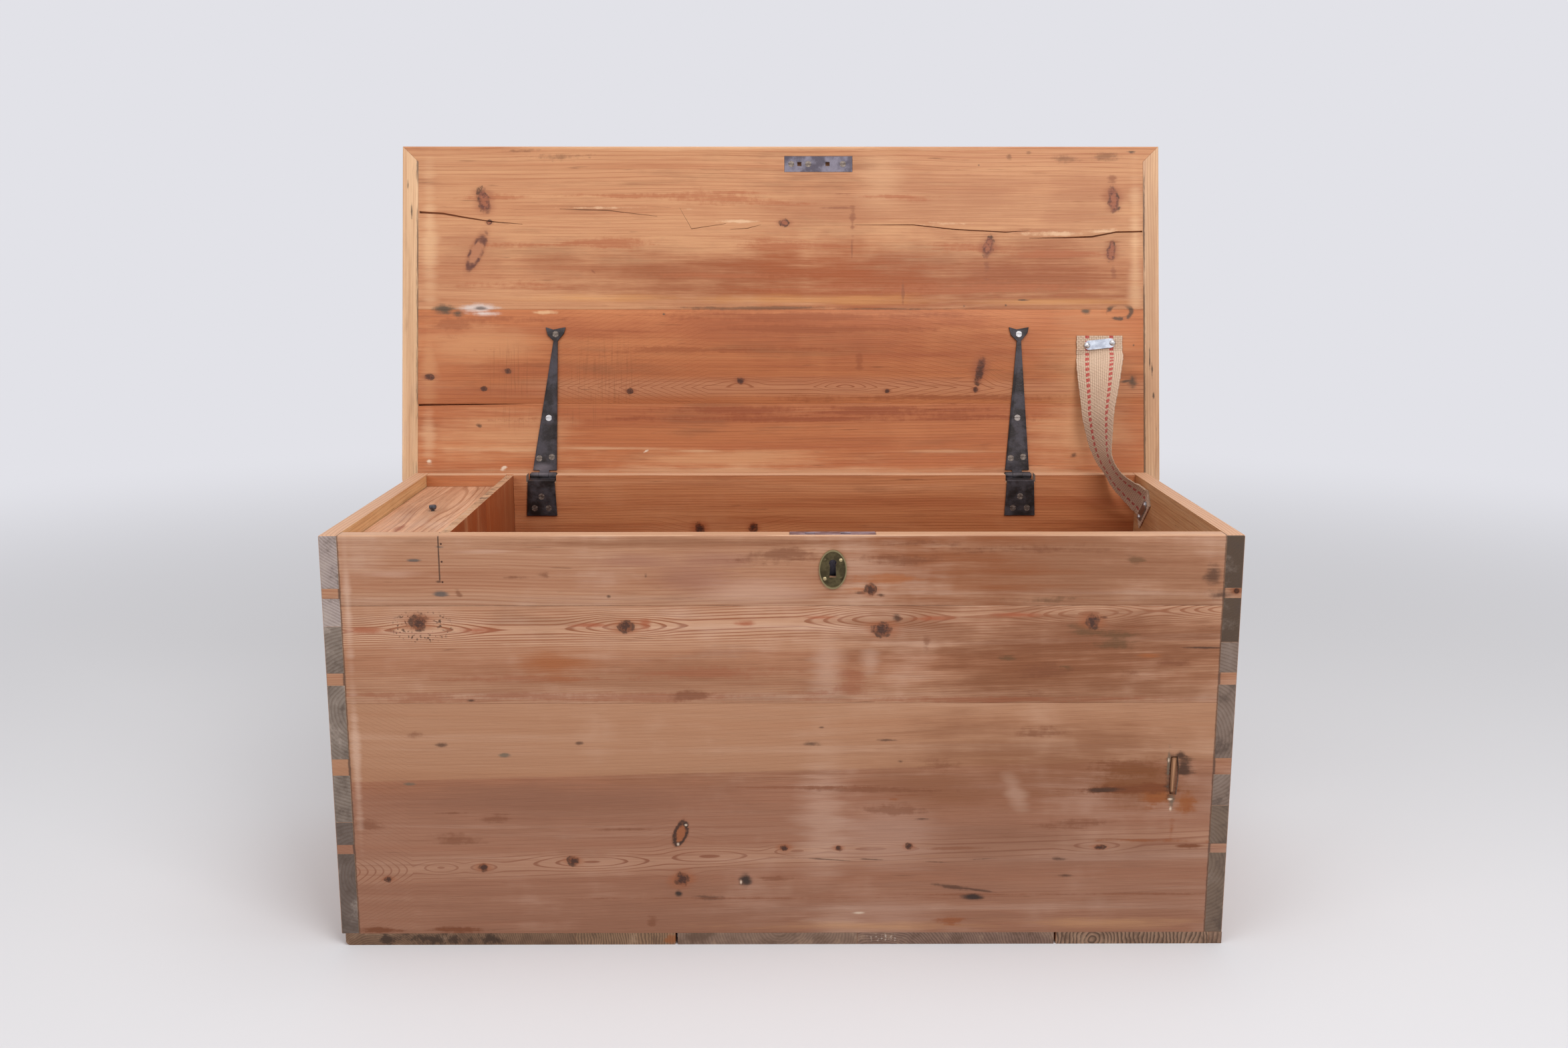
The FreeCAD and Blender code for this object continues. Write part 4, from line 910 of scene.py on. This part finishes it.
# Deeper colour on the till wall's right face: partly its darker wood, partly painted shade.
till_wall_board.aged_face_and_painted_light("x", 1, (0.90, 0.66, 0.42, 1.0))
till_wall_board.grey_ends(tone(204, 158, 122))
till_walls = ["till_wall_" + place for place in ("front", "middle", "back")]
dress(till_wall_board.seal(), *till_walls)
till_floor_board = plank("till_floor", "yxz", (-0.46, 0.30), 0.0042, 47.1, figure=0.5)
till_floor_board.grey_ends(grey_end)
dress(till_floor_board.seal(), "till_floor", "till_ledge")
print("till dressed")

# %% [markdown]
# ## Metals
# Forged iron is nearly black, with a hammered face and rubbed, bluish high spots. The lock plates
# are plain steel gone grey and brown, the keyhole plate is dull brass, and the webbing is held by
# bright new zinc. Each finish mixes two tones by cloudy noise and lets roughness follow it. A few
# listed places are painted brighter: bright screw heads, and painted highlights on the key plate
# and on the bend of the left hinge.

# %% A worn metal
def metal(
    name, dark, light, rust, low_gloss, high_gloss, grain, dent, metallic=1.0, rusting=0.4, rubbed_and_highlit=()
):
    """Worn metal: two tones, some rust, a dented face, and listed places painted brighter, some rubbed and
    some painted highlights.
    """
    made = Finish(name)
    at = made.place()
    cloud = made.noise(at, grain, 4.0, 0.6)
    fine = made.noise(at, grain * 9, 3.0, 0.6)
    colour = made.mix(made.step(cloud, 0.38, 0.66), dark, light)
    colour = made.mix(made.step(fine, 0.56, 0.74) * rusting, colour, rust)
    # Each listed place is painted brighter: rubbed metal in some, painted highlights in others.
    for paint, middle, halves, inner, soft in rubbed_and_highlit:
        reach = made.reach(at, middle, halves) + (cloud - 0.5) * soft
        rubbed_and_highlit_here = made.step(reach, 1.05 + soft * 0.3, 1 - soft) * made.step(reach, inner - 0.05, inner)
        colour = made.mix(rubbed_and_highlit_here * 0.9, colour, paint)
    rough = made.step(cloud, 0.3, 0.7) * (high_gloss - low_gloss) + low_gloss + fine * 0.1
    dents = made.noise(at, grain * 2.2, 2.0) * 0.7 + fine * 0.3
    face = made.bump(dents, dent, 0.6)
    made.wear(Base_Color=colour, Roughness=rough, Normal=face, Metallic=metallic)
    return made.material


# %% Iron, steel, brass and zinc
silver = tone(206, 204, 204)
half_bright = tone(158, 148, 142)
# Key plate: the rim bead is partly polished brass, partly painted highlight; two of the pins carry painted
# highlights.
rim_gold_and_highlight = tone(150, 136, 101)
pin_highlight_gold = tone(190, 172, 132)
# Lighter patch where the left hinge's lower leaf bends over the rim: painted highlight, partly rubbed iron.
strap_foot_highlight = (tone(134, 124, 128), (-0.360, 0.239, 0.5255), (0.024, 0.02, 0.009), -1, 0.7)
screw_room = (0.012, 0.03, 0.012)
bright_heads = [
    (silver, (-0.3496, 0.257, 0.600), screw_room, -1, 0.1),
    (silver, (0.3585, 0.283, 0.7236), screw_room, -1, 0.1),
    (half_bright, (0.3558, 0.257, 0.600), screw_room, -1, 0.1),
]
# Brass rim bead and two pins painted brighter: painted highlights, partly polish on the rim.
brass_highlights = [
    (rim_gold_and_highlight, (0.060, -0.240, 0.4787), (0.0168, 0.02, 0.0238), 0.93, 0.0),
    (pin_highlight_gold, (0.0695, -0.241, 0.4902), (0.0022, 0.02, 0.0022), -1, 0.1),
    (pin_highlight_gold, (0.0505, -0.241, 0.4675), (0.0022, 0.02, 0.0022), -1, 0.1),
]
iron = metal("forged_iron", tone(52, 47, 46), tone(80, 75, 79), tone(78, 60, 50), 0.34, 0.58, 45.0,
    0.0012, 0.8, rubbed_and_highlit=[strap_foot_highlight])
steel = metal("lock_steel", tone(84, 78, 86), tone(122, 116, 126), tone(88, 70, 62), 0.3, 0.5, 60.0, 0.0003)
rubbed_steel = metal("selvedge_steel", tone(142, 126, 134), tone(170, 154, 162), tone(122, 104, 104),
    0.34, 0.5, 60.0, 0.0003)
dull_steel = metal("dull_screw_steel", tone(106, 94, 86), tone(146, 134, 124), tone(92, 70, 56), 0.4,
    0.6, 300.0, 0.0003, rubbed_and_highlit=bright_heads)
bright_steel = metal("bright_screw_steel", tone(176, 172, 172), tone(214, 212, 212),
    tone(140, 128, 118), 0.28, 0.45, 300.0, 0.0002)
brass = metal("aged_brass", tone(74, 65, 47), tone(98, 88, 63), tone(58, 51, 39), 0.34, 0.52, 140.0,
    0.0003, rubbed_and_highlit=brass_highlights)
zinc = metal("zinc_plate", tone(150, 154, 164), tone(178, 182, 190), tone(118, 120, 128), 0.22, 0.36,
    120.0, 0.0002, 1.0, 0.2)
rusty = metal("rusty_nail", tone(70, 44, 34), tone(104, 62, 42), tone(128, 70, 38), 0.6, 0.8, 220.0,
    0.0004, 0.5)
knob_black = metal("blue_black_knob", tone(56, 56, 62), tone(88, 88, 98), tone(72, 62, 60), 0.35, 0.5,
    180.0, 0.0003, 0.2)
print("nine metal finishes mixed")

# %% Dress the metal pieces
for side in ("left", "right"):
    dress(iron, side + "_hinge_lower_leaf", side + "_hinge_upper_leaf", side + "_hinge_pin")
    dress(dull_steel, side + "_hinge_lower_screws", side + "_hinge_upper_screws")
dress(rubbed_steel, "lock_selvedge")
dress(steel, "lock_case", "lock_cap", "lock_bolt", "lock_spring", "lock_drill_pin", "lock_keeper")
dress(dull_steel, "lock_screws", "lock_keeper_screws")
dress(brass, "key_plate", "key_plate_pins")
dress(zinc, "stay_upper_plate", "stay_lower_plate")
dress(bright_steel, "stay_upper_screws", "stay_lower_screws")
dress(rusty, "base_nails", "till_nails")
dress(knob_black, "till_knob")
print("metal pieces dressed")

# %% [markdown]
# ## Eased edges
# No edge of an old chest is knife sharp: a plane, sandpaper and a hundred years of hands have eased
# them all, and each joint between boards shows as a fine groove. A CAD solid can't be changed, so
# each one is copied, its triangles are merged back into flat faces, and only its long sharp edges
# are bevelled. The copy then stands for the solid and moves with the same body.

# %% Pick parts of a mesh and copy a solid
def pick(piece, kind, chosen):
    """Selects the faces, edges or vertices for which chosen says yes; leaves the piece in edit mode."""
    bpy.context.view_layer.objects.active = piece
    bpy.ops.object.mode_set(mode="EDIT")
    bpy.ops.mesh.select_mode(type=kind)
    bpy.ops.mesh.select_all(action="DESELECT")
    shape = bmesh.from_edit_mesh(piece.data)
    for item in {"VERT": shape.verts, "EDGE": shape.edges, "FACE": shape.faces}[kind]:
        item.select_set(bool(chosen(item)))
    shape.select_flush_mode()
    bmesh.update_edit_mesh(piece.data)


def copied(name):
    """A merged copy of a CAD node, with its finish."""
    bpy.ops.object.select_all(action="DESELECT")
    nodes[name].select_set(True)
    bpy.context.view_layer.objects.active = nodes[name]
    bpy.ops.object.duplicate()
    piece = bpy.context.object
    body = piece["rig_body"]
    for key in list(piece.keys()):
        del piece[key]
    piece.parent = None
    piece.name = name + "_eased"
    bpy.ops.mesh.customdata_custom_splitnormals_clear()
    bpy.ops.object.mode_set(mode="EDIT")
    bpy.ops.mesh.select_all(action="SELECT")
    bpy.ops.mesh.remove_doubles(threshold=1e-6)
    bpy.ops.mesh.dissolve_limited(angle_limit=math.radians(1))
    bpy.ops.object.mode_set(mode="OBJECT")
    return piece, body


# %% Bevel the long sharp edges
sharp_angle = 0.6


def is_sharp(edge, shortest):
    if len(edge.link_faces) != 2:
        return False
    return edge.calc_length() > shortest and edge.calc_face_angle() > sharp_angle


def bevel(piece, chosen, width, segments=2):
    pick(piece, "EDGE", chosen)
    bpy.ops.mesh.bevel(offset=width, offset_type="OFFSET", segments=segments, affect="EDGES",
        clamp_overlap=False)
    bpy.ops.object.mode_set(mode="OBJECT")


def settle(piece, body, slot, *names):
    """Gives a finished piece its body and hides the CAD nodes that it stands for; slot is not used."""
    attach(piece, body)
    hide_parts(*names)


def eased(name, slot, width, shortest=0.008, worn=None, worn_width=0.0014):
    """Copy of a solid with its long sharp edges bevelled, those that worn picks more than the rest."""
    piece, body = copied(name)
    if worn:
        bevel(piece, lambda edge: is_sharp(edge, shortest) and worn(edge), worn_width, 3)
    bevel(piece, lambda edge: is_sharp(edge, shortest), width)
    bpy.ops.object.select_all(action="DESELECT")
    piece.select_set(True)
    bpy.ops.object.shade_smooth_by_angle(angle=math.radians(24))
    settle(piece, body, slot, name)
    return piece


# %% Ease the walls and the base
rim_height = 0.5199
wall_bevel = 0.0005
base_bevel = 0.0007


def on_rim(edge):
    return (edge.verts[0].co.z + edge.verts[1].co.z) / 2 > rim_height


sides = ("front", "back", "left", "right")
walls = [side + "_board_" + level for side in sides for level in ("upper", "middle", "lower")]
boards = {name: eased(name, "pine_outside", wall_bevel, worn=on_rim) for name in walls}
for name, *_ in base_rows:
    boards[name] = eased(name, "pine_outside", base_bevel)
print("eased", len(boards), "wall and base boards")

# %% [markdown]
# ## Lid boards, cracks and the open joint
# The lid has shrunk over the years. Its front board is torn along a wandering crack, and the joint
# between the middle and the rear board has opened beside the left hinge. A crack is a wedge of air,
# so a wedge is modelled: its mouth is drawn as a small plane, pulled from point to point along
# the route with extrude, and thinned on the way. A Boolean then takes it out of the board.

# %% Crack cutter
def wedge(route, depth, frame_of_face, proud=0.001):
    """Cutter along a route of (along, up, width) in millimetres; the face lies where the frame's y is 0."""
    route = [[size / 1000 for size in point] for point in route]
    along, up, width = route[0]
    bpy.ops.mesh.primitive_plane_add(size=1, location=(along, 0, up), rotation=(0, math.pi / 2, 0))
    cutter = bpy.context.object
    bpy.ops.object.transform_apply()
    bpy.ops.object.mode_set(mode="EDIT")
    middle = (along, (depth - proud) / 2, up)
    bpy.ops.transform.translate(value=(0, middle[1], 0))
    bpy.ops.transform.resize(value=(1, depth + proud, width), center_override=middle)
    for (x0, z0, w0), (x1, z1, w1) in zip(route, route[1:]):
        bpy.ops.mesh.extrude_region_move(TRANSFORM_OT_translate={"value": (x1 - x0, 0, z1 - z0)})
        bpy.ops.transform.resize(value=(1, 1, w1 / w0), center_override=(x1, middle[1], z1))
    bpy.ops.mesh.select_all(action="SELECT")
    bpy.ops.mesh.normals_make_consistent(inside=False)
    bpy.ops.object.mode_set(mode="OBJECT")
    cutter.data.transform(frame_of_face)
    return cutter


def cut(piece, cutter):
    """Takes a cutter out of a piece, and throws the cutter away."""
    change = piece.modifiers.new("cut", "BOOLEAN")
    change.object = cutter
    change.operation = "DIFFERENCE"
    change.solver = "EXACT"
    bpy.ops.object.select_all(action="DESELECT")
    bpy.context.view_layer.objects.active = piece
    piece.select_set(True)
    bpy.ops.object.modifier_apply(modifier=change.name)
    bpy.data.objects.remove(cutter)


# %% Ease and tear the lid
thin_bevel = 0.0006
tear_depth = 0.006
joint_depth = 0.009
for name in ("lid_board_front", "lid_board_middle", "lid_board_back", "left_lid_clamp", "right_lid_clamp"):
    boards[name] = eased(name, "pine_lid", thin_bevel)

lid_frame = Matrix.Translation(lid_axis) @ Matrix.Rotation(-lid_lean, 4, "X")
inner_face = lid_frame @ Matrix.Translation((0, lid_face, 0))
tears = [
    [(-545, 398, 3.4), (-510, 396, 3), (-476, 390, 2.4), (-438, 384, 1.6), (-390, 380, 0.5)],
    [(-334, 403, 0.4), (-263, 401, 1), (-187, 392, 0.4)],
    [(-153, 405, 0.4), (-135, 373, 0.9), (-83, 381, 0.5)],
    [(-77, 372, 0.4), (-50, 374, 0.9), (-31, 379, 0.4)],
    [(111, 379, 0.4), (199, 379, 1.4), (263, 372, 1.7), (339, 368, 1.5), (375, 370, 0.4)],
    [(375, 359, 0.5), (430, 359.5, 2), (470, 361, 2.6), (506, 368, 2.4), (546, 369, 2.6)],
]
for tear in tears:
    cut(boards["lid_board_front"], wedge(tear, tear_depth, inner_face))
open_joint = [
    (-546, 107, 3), (-454, 108.5, 2.6), (-372, 109.5, 1.4), (-200, 109.5, 0.6),
]
cut(boards["lid_board_back"], wedge(open_joint, joint_depth, inner_face))
print("lid boards eased,", len(tears), "tears cut")

# %% [markdown]
# ## A bark pocket and an old nail
# Low on the right of the front a branch has left an upright pocket in the wood, with a stub of the
# branch still in it. The pocket is cut like the cracks, only wide and short; the stub that lies in
# it is a rod with rounded ends, thinned below. Above it, in one of the pins, sits the head of a rusty
# nail, which is a small disc with a raised middle.

# %% Bark pocket
pocket_depth = 0.0045
front_plane = Matrix.Translation((0, front_face, 0))
pocket = [
    (471.6, 220.5, 14), (473.4, 220.5, 48), (481.6, 220.5, 50), (483.4, 221.5, 16),
]
cut(boards["front_board_lower"], wedge(pocket, pocket_depth, front_plane))
print("pocket cut", pocket_depth * 1000, "mm deep")


# %% Stub of the branch
def turned(name, radius, depth, place, rotation, edge):
    """A disc or rod with eased rims, its place in its mesh."""
    bpy.ops.object.select_all(action="DESELECT")
    bpy.ops.mesh.primitive_cylinder_add(vertices=16, radius=radius, depth=depth, location=place,
        rotation=rotation)
    piece = bpy.context.object
    piece.name = name
    bpy.ops.object.transform_apply()
    bevel(piece, lambda rim: is_sharp(rim, 0), edge, 3)
    return piece


stub_radius = 0.0035
stub_length = 0.046
stub_middle = Vector((0.4776, front_face + 0.0036, 0.2205))
stub = turned("pocket_stub", stub_radius, stub_length, stub_middle, (0, 0, 0), 0.0024)
pick(stub, "VERT", lambda point: point.co.z < stub_middle.z - 0.012)
bpy.ops.transform.resize(value=(0.75, 0.8, 1), center_override=stub_middle)
bpy.ops.transform.translate(value=(-0.0007, 0.0004, 0))
bpy.ops.object.mode_set(mode="OBJECT")
bpy.ops.object.shade_smooth_by_angle(angle=math.radians(50))
branch = Board("branch_pine", "zxy", 51.3, tone(172, 126, 92), tone(112, 74, 48))
branch.grow((0.478, -0.22), 0.0013, 0.7, 0.2)
branch.age(0.4, tone(150, 92, 56))
stub.data.materials.append(branch.seal())
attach(stub, "carcase")
print("stub set in,", stub_length * 1000, "mm long")

# %% Nail head
nail_radius = 0.0031
nail_thick = 0.0026
nail_middle = (0.541, front_face + 0.0006, 0.452)
nail_head = turned("pin_nail_head", nail_radius, nail_thick, nail_middle, (math.pi / 2, 0, 0), 0.0004)
pick(nail_head, "FACE", lambda face: face.normal.y < -0.9)
bpy.ops.mesh.inset(thickness=0.0012)
bpy.ops.transform.translate(value=(0, -0.0004, 0))
bpy.ops.object.mode_set(mode="OBJECT")
nail_head.data.materials.append(rusty)
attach(nail_head, "carcase")
print("nail head set in")

# %% [markdown]
# ## Till boards and lock furniture
# The till is thin pine, the lock and hinges are flat metal. They are eased in the same way, with
# smaller bevels; on metal the bevel catches the light as a filed edge does.

# %% Ease the till, hinges and lock plates
leaf_bevel = 0.0005
plate_bevel = 0.0003
for name in ("till_lid", *till_walls, "till_floor", "till_ledge"):
    eased(name, "pine_inside", thin_bevel)
for side in ("left", "right"):
    for leaf in ("upper", "lower"):
        eased(side + "_hinge_" + leaf + "_leaf", "wrought_iron", leaf_bevel, shortest=0.003)
for name in ("lock_selvedge", "lock_keeper"):
    eased(name, "lock_steel", plate_bevel, shortest=0.004)
print("eased the till, four hinge leaves and two lock plates")

# %% [markdown]
# ## Webbing stay
# A strip of jute webbing stops the lid from falling back. It hangs slack and turned, so it is a
# ribbon whose middle follows a smooth line through a few stations while its width direction turns.
# The weave is real geometry: a fine grid, raised where a yarn passes over and sunk where it passes
# under. At the wall the end is folded under itself. The finish adds two red dashed stripes and
# painted shade in the hollows between the yarns.

# %% Route of the webbing
webbing_width = 0.069
webbing_thick = 0.0011
stations = [
    ((0.4800, 0.2918, 0.7202), (0.995, 0.021, 0.102)),
    ((0.4800, 0.2872, 0.6977), (0.995, 0.021, 0.102)),
    ((0.4794, 0.2802, 0.6890), (0.990, -0.100, 0.110)),
    ((0.4760, 0.2609, 0.6737), (0.866, -0.476, 0.156)),
    ((0.4719, 0.2357, 0.6423), (0.650, -0.737, 0.187)),
    ((0.4679, 0.2156, 0.6097), (0.472, -0.858, 0.203)),
    ((0.4688, 0.2005, 0.5758), (0.303, -0.931, 0.203)),
    ((0.4724, 0.1911, 0.5519), (0.153, -0.967, 0.203)),
    ((0.4800, 0.1839, 0.5343), (0.061, -0.970, 0.233)),
    ((0.4916, 0.1782, 0.5167), (0.029, -0.923, 0.383)),
    ((0.5064, 0.1717, 0.5029), (0.014, -0.861, 0.509)),
    ((0.5181, 0.1653, 0.4929), (0.000, -0.790, 0.613)),
    ((0.5248, 0.1603, 0.4848), (0.000, -0.788, 0.616)),
    ((0.5248, 0.1480, 0.4690), (0.000, -0.788, 0.616)),
]


def between(rows, index, share):
    """Smooth curve through rows of vectors, at a share of the way from one row to the next."""
    last = len(rows) - 1
    a, b, c, d = [rows[min(max(index + step, 0), last)] for step in (-1, 0, 1, 2)]
    return 0.5 * (2 * b + (c - a) * share + (2 * a - 5 * b + 4 * c - d) * share ** 2
                  + (3 * b - a - 3 * c + d) * share ** 3)


middles = [Vector(place) for place, _ in stations]
widths = [Vector(width).normalized() for _, width in stations]
steps_per_span = 24
line = []
for index in range(len(stations) - 1):
    for step in range(steps_per_span):
        share = step / steps_per_span
        straight = index in (0, len(stations) - 2)
        middle = between(middles, index, share)
        if straight:
            middle = middles[index].lerp(middles[index + 1], share)
        line.append((middle, between(widths, index, share).normalized()))
line.append((middles[-1], widths[-1]))
webbing_run = sum((b[0] - a[0]).length for a, b in zip(line, line[1:]))
print("webbing hangs over", round(webbing_run * 1000), "mm")

# %% Hem and yarns of the webbing
yarns_across = 21
points_per_yarn = 4
hem_length = 0.045
fold_radius = webbing_thick / 2 + 0.0001
webbing_length = webbing_run + math.pi * fold_radius + hem_length
yarn_pitch = 0.0028
yarns_along = round(webbing_length / yarn_pitch)
columns = yarns_across * points_per_yarn
rows = yarns_along * points_per_yarn
weave_height = 0.00033
print("webbing of", yarns_across, "by", yarns_along, "yarns")


def on_run(distance):
    """Middle, width direction and run of the hanging ribbon at a distance from its top."""
    gone = 0.0
    for (a, wide_a), (b, wide_b) in zip(line, line[1:]):
        span = (b - a).length
        if gone + span >= distance or b is line[-1][0]:
            share = min(max((distance - gone) / span, 0), 1)
            wide = wide_a.lerp(wide_b, share)
            along = (b - a).normalized()
            wide = (wide - along * wide.dot(along)).normalized()
            return a.lerp(b, share), wide, along
        gone += span


def ribbon(distance):
    """Middle, width direction and facing of the whole strip, with its hem folded under."""
    middle, wide, along = on_run(min(distance, webbing_run))
    facing = along.cross(wide)
    beyond = distance - webbing_run
    if beyond <= 0:
        return middle + facing * fold_radius, wide, facing
    turn = min(beyond / fold_radius, math.pi)
    if turn < math.pi:
        out = facing * math.cos(turn) + along * math.sin(turn)
        return middle + out * fold_radius, wide, out
    middle, wide, along = on_run(webbing_run - beyond + math.pi * fold_radius)
    return middle - facing * fold_radius, wide, -facing


def weave(column, row):
    """Height of the woven face, over and under by turns."""
    warp, weft = [math.sin(math.pi * (count / points_per_yarn + 0.5)) for count in (column, row)]
    return warp * weft * weave_height


# %% Weave the webbing
edge_slack = 0.0003
bpy.ops.object.select_all(action="DESELECT")
bpy.ops.mesh.primitive_grid_add(x_subdivisions=columns, y_subdivisions=rows, size=1)
webbing = bpy.context.object
webbing.name = "webbing_strip"
places = [ribbon(webbing_length * row / rows) for row in range(rows + 1)]
for vertex in webbing.data.vertices:
    column = round((vertex.co.x + 0.5) * columns)
    row = round((0.5 - vertex.co.y) * rows)
    middle, wide, facing = places[row]
    slack = math.sin(row * 0.31) * edge_slack if column in (0, columns) else 0
    off_middle = (column / columns - 0.5) * webbing_width + slack
    vertex.co = middle + wide * off_middle + facing * weave(column, row)
thick = webbing.modifiers.new("thickness", "SOLIDIFY")
thick.thickness = webbing_thick
thick.offset = 0
bpy.ops.object.modifier_apply(modifier=thick.name)
bpy.ops.object.shade_smooth()
print("webbing woven,", len(webbing.data.polygons), "faces")

# %% Jute finish
stripe_shares = (0.23, 0.757)
stripe_half = 0.0029
dash_pitch = 0.0093
fuzz_depth = 0.0003
jute = Finish("jute_webbing")
uv = jute.node("TexCoord", {}, {}, "UV")
across = jute.axis(uv, "x") * webbing_width
along = jute.axis(uv, "y") * webbing_length
at = jute.place()
fuzz = jute.noise(at, 900.0, 3.0, 0.6)
patchy = jute.noise(at, 45.0, 3.0)
strand_a = (across * (math.pi * yarns_across / webbing_width)).wave()
strand_b = (along * (math.pi * yarns_along / webbing_length)).wave()
# Darker lines where the yarns part: painted shade in the hollows of the weave.
gap = jute.step(abs(strand_a) * abs(strand_b), 0.5, 0.02)
colour = jute.mix(jute.step(fuzz, 0.3, 0.75), tone(218, 190, 165), tone(198, 166, 140))
colour = jute.mix(jute.step(patchy, 0.45, 0.8) * 0.25, colour, tone(184, 147, 121))
colour = jute.mix(gap * 0.6, colour, tone(124, 90, 66))
stripe = None
for share in stripe_shares:
    near = jute.step(abs(across - share * webbing_width), stripe_half * 1.15, stripe_half * 0.85)
    stripe = near if stripe is None else stripe.most(near)
beat = (along / dash_pitch).part()
dash = jute.step(beat, 0.3, 0.38) * jute.step(beat, 1.0, 0.92)
red = jute.mix(fuzz, tone(196, 56, 54), tone(158, 40, 42))
colour = jute.mix(stripe * dash * (1 - gap * 0.5), colour, red)
face = jute.bump(fuzz, fuzz_depth, 0.7)
jute.wear(Base_Color=colour, Roughness=fuzz * 0.2 + 0.75, Normal=face, Sheen_Weight=0.15)
webbing.data.materials.append(jute.material)
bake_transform(webbing)
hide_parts("webbing_stay")
print("webbing cut", round(webbing_length * 1000), "mm long")
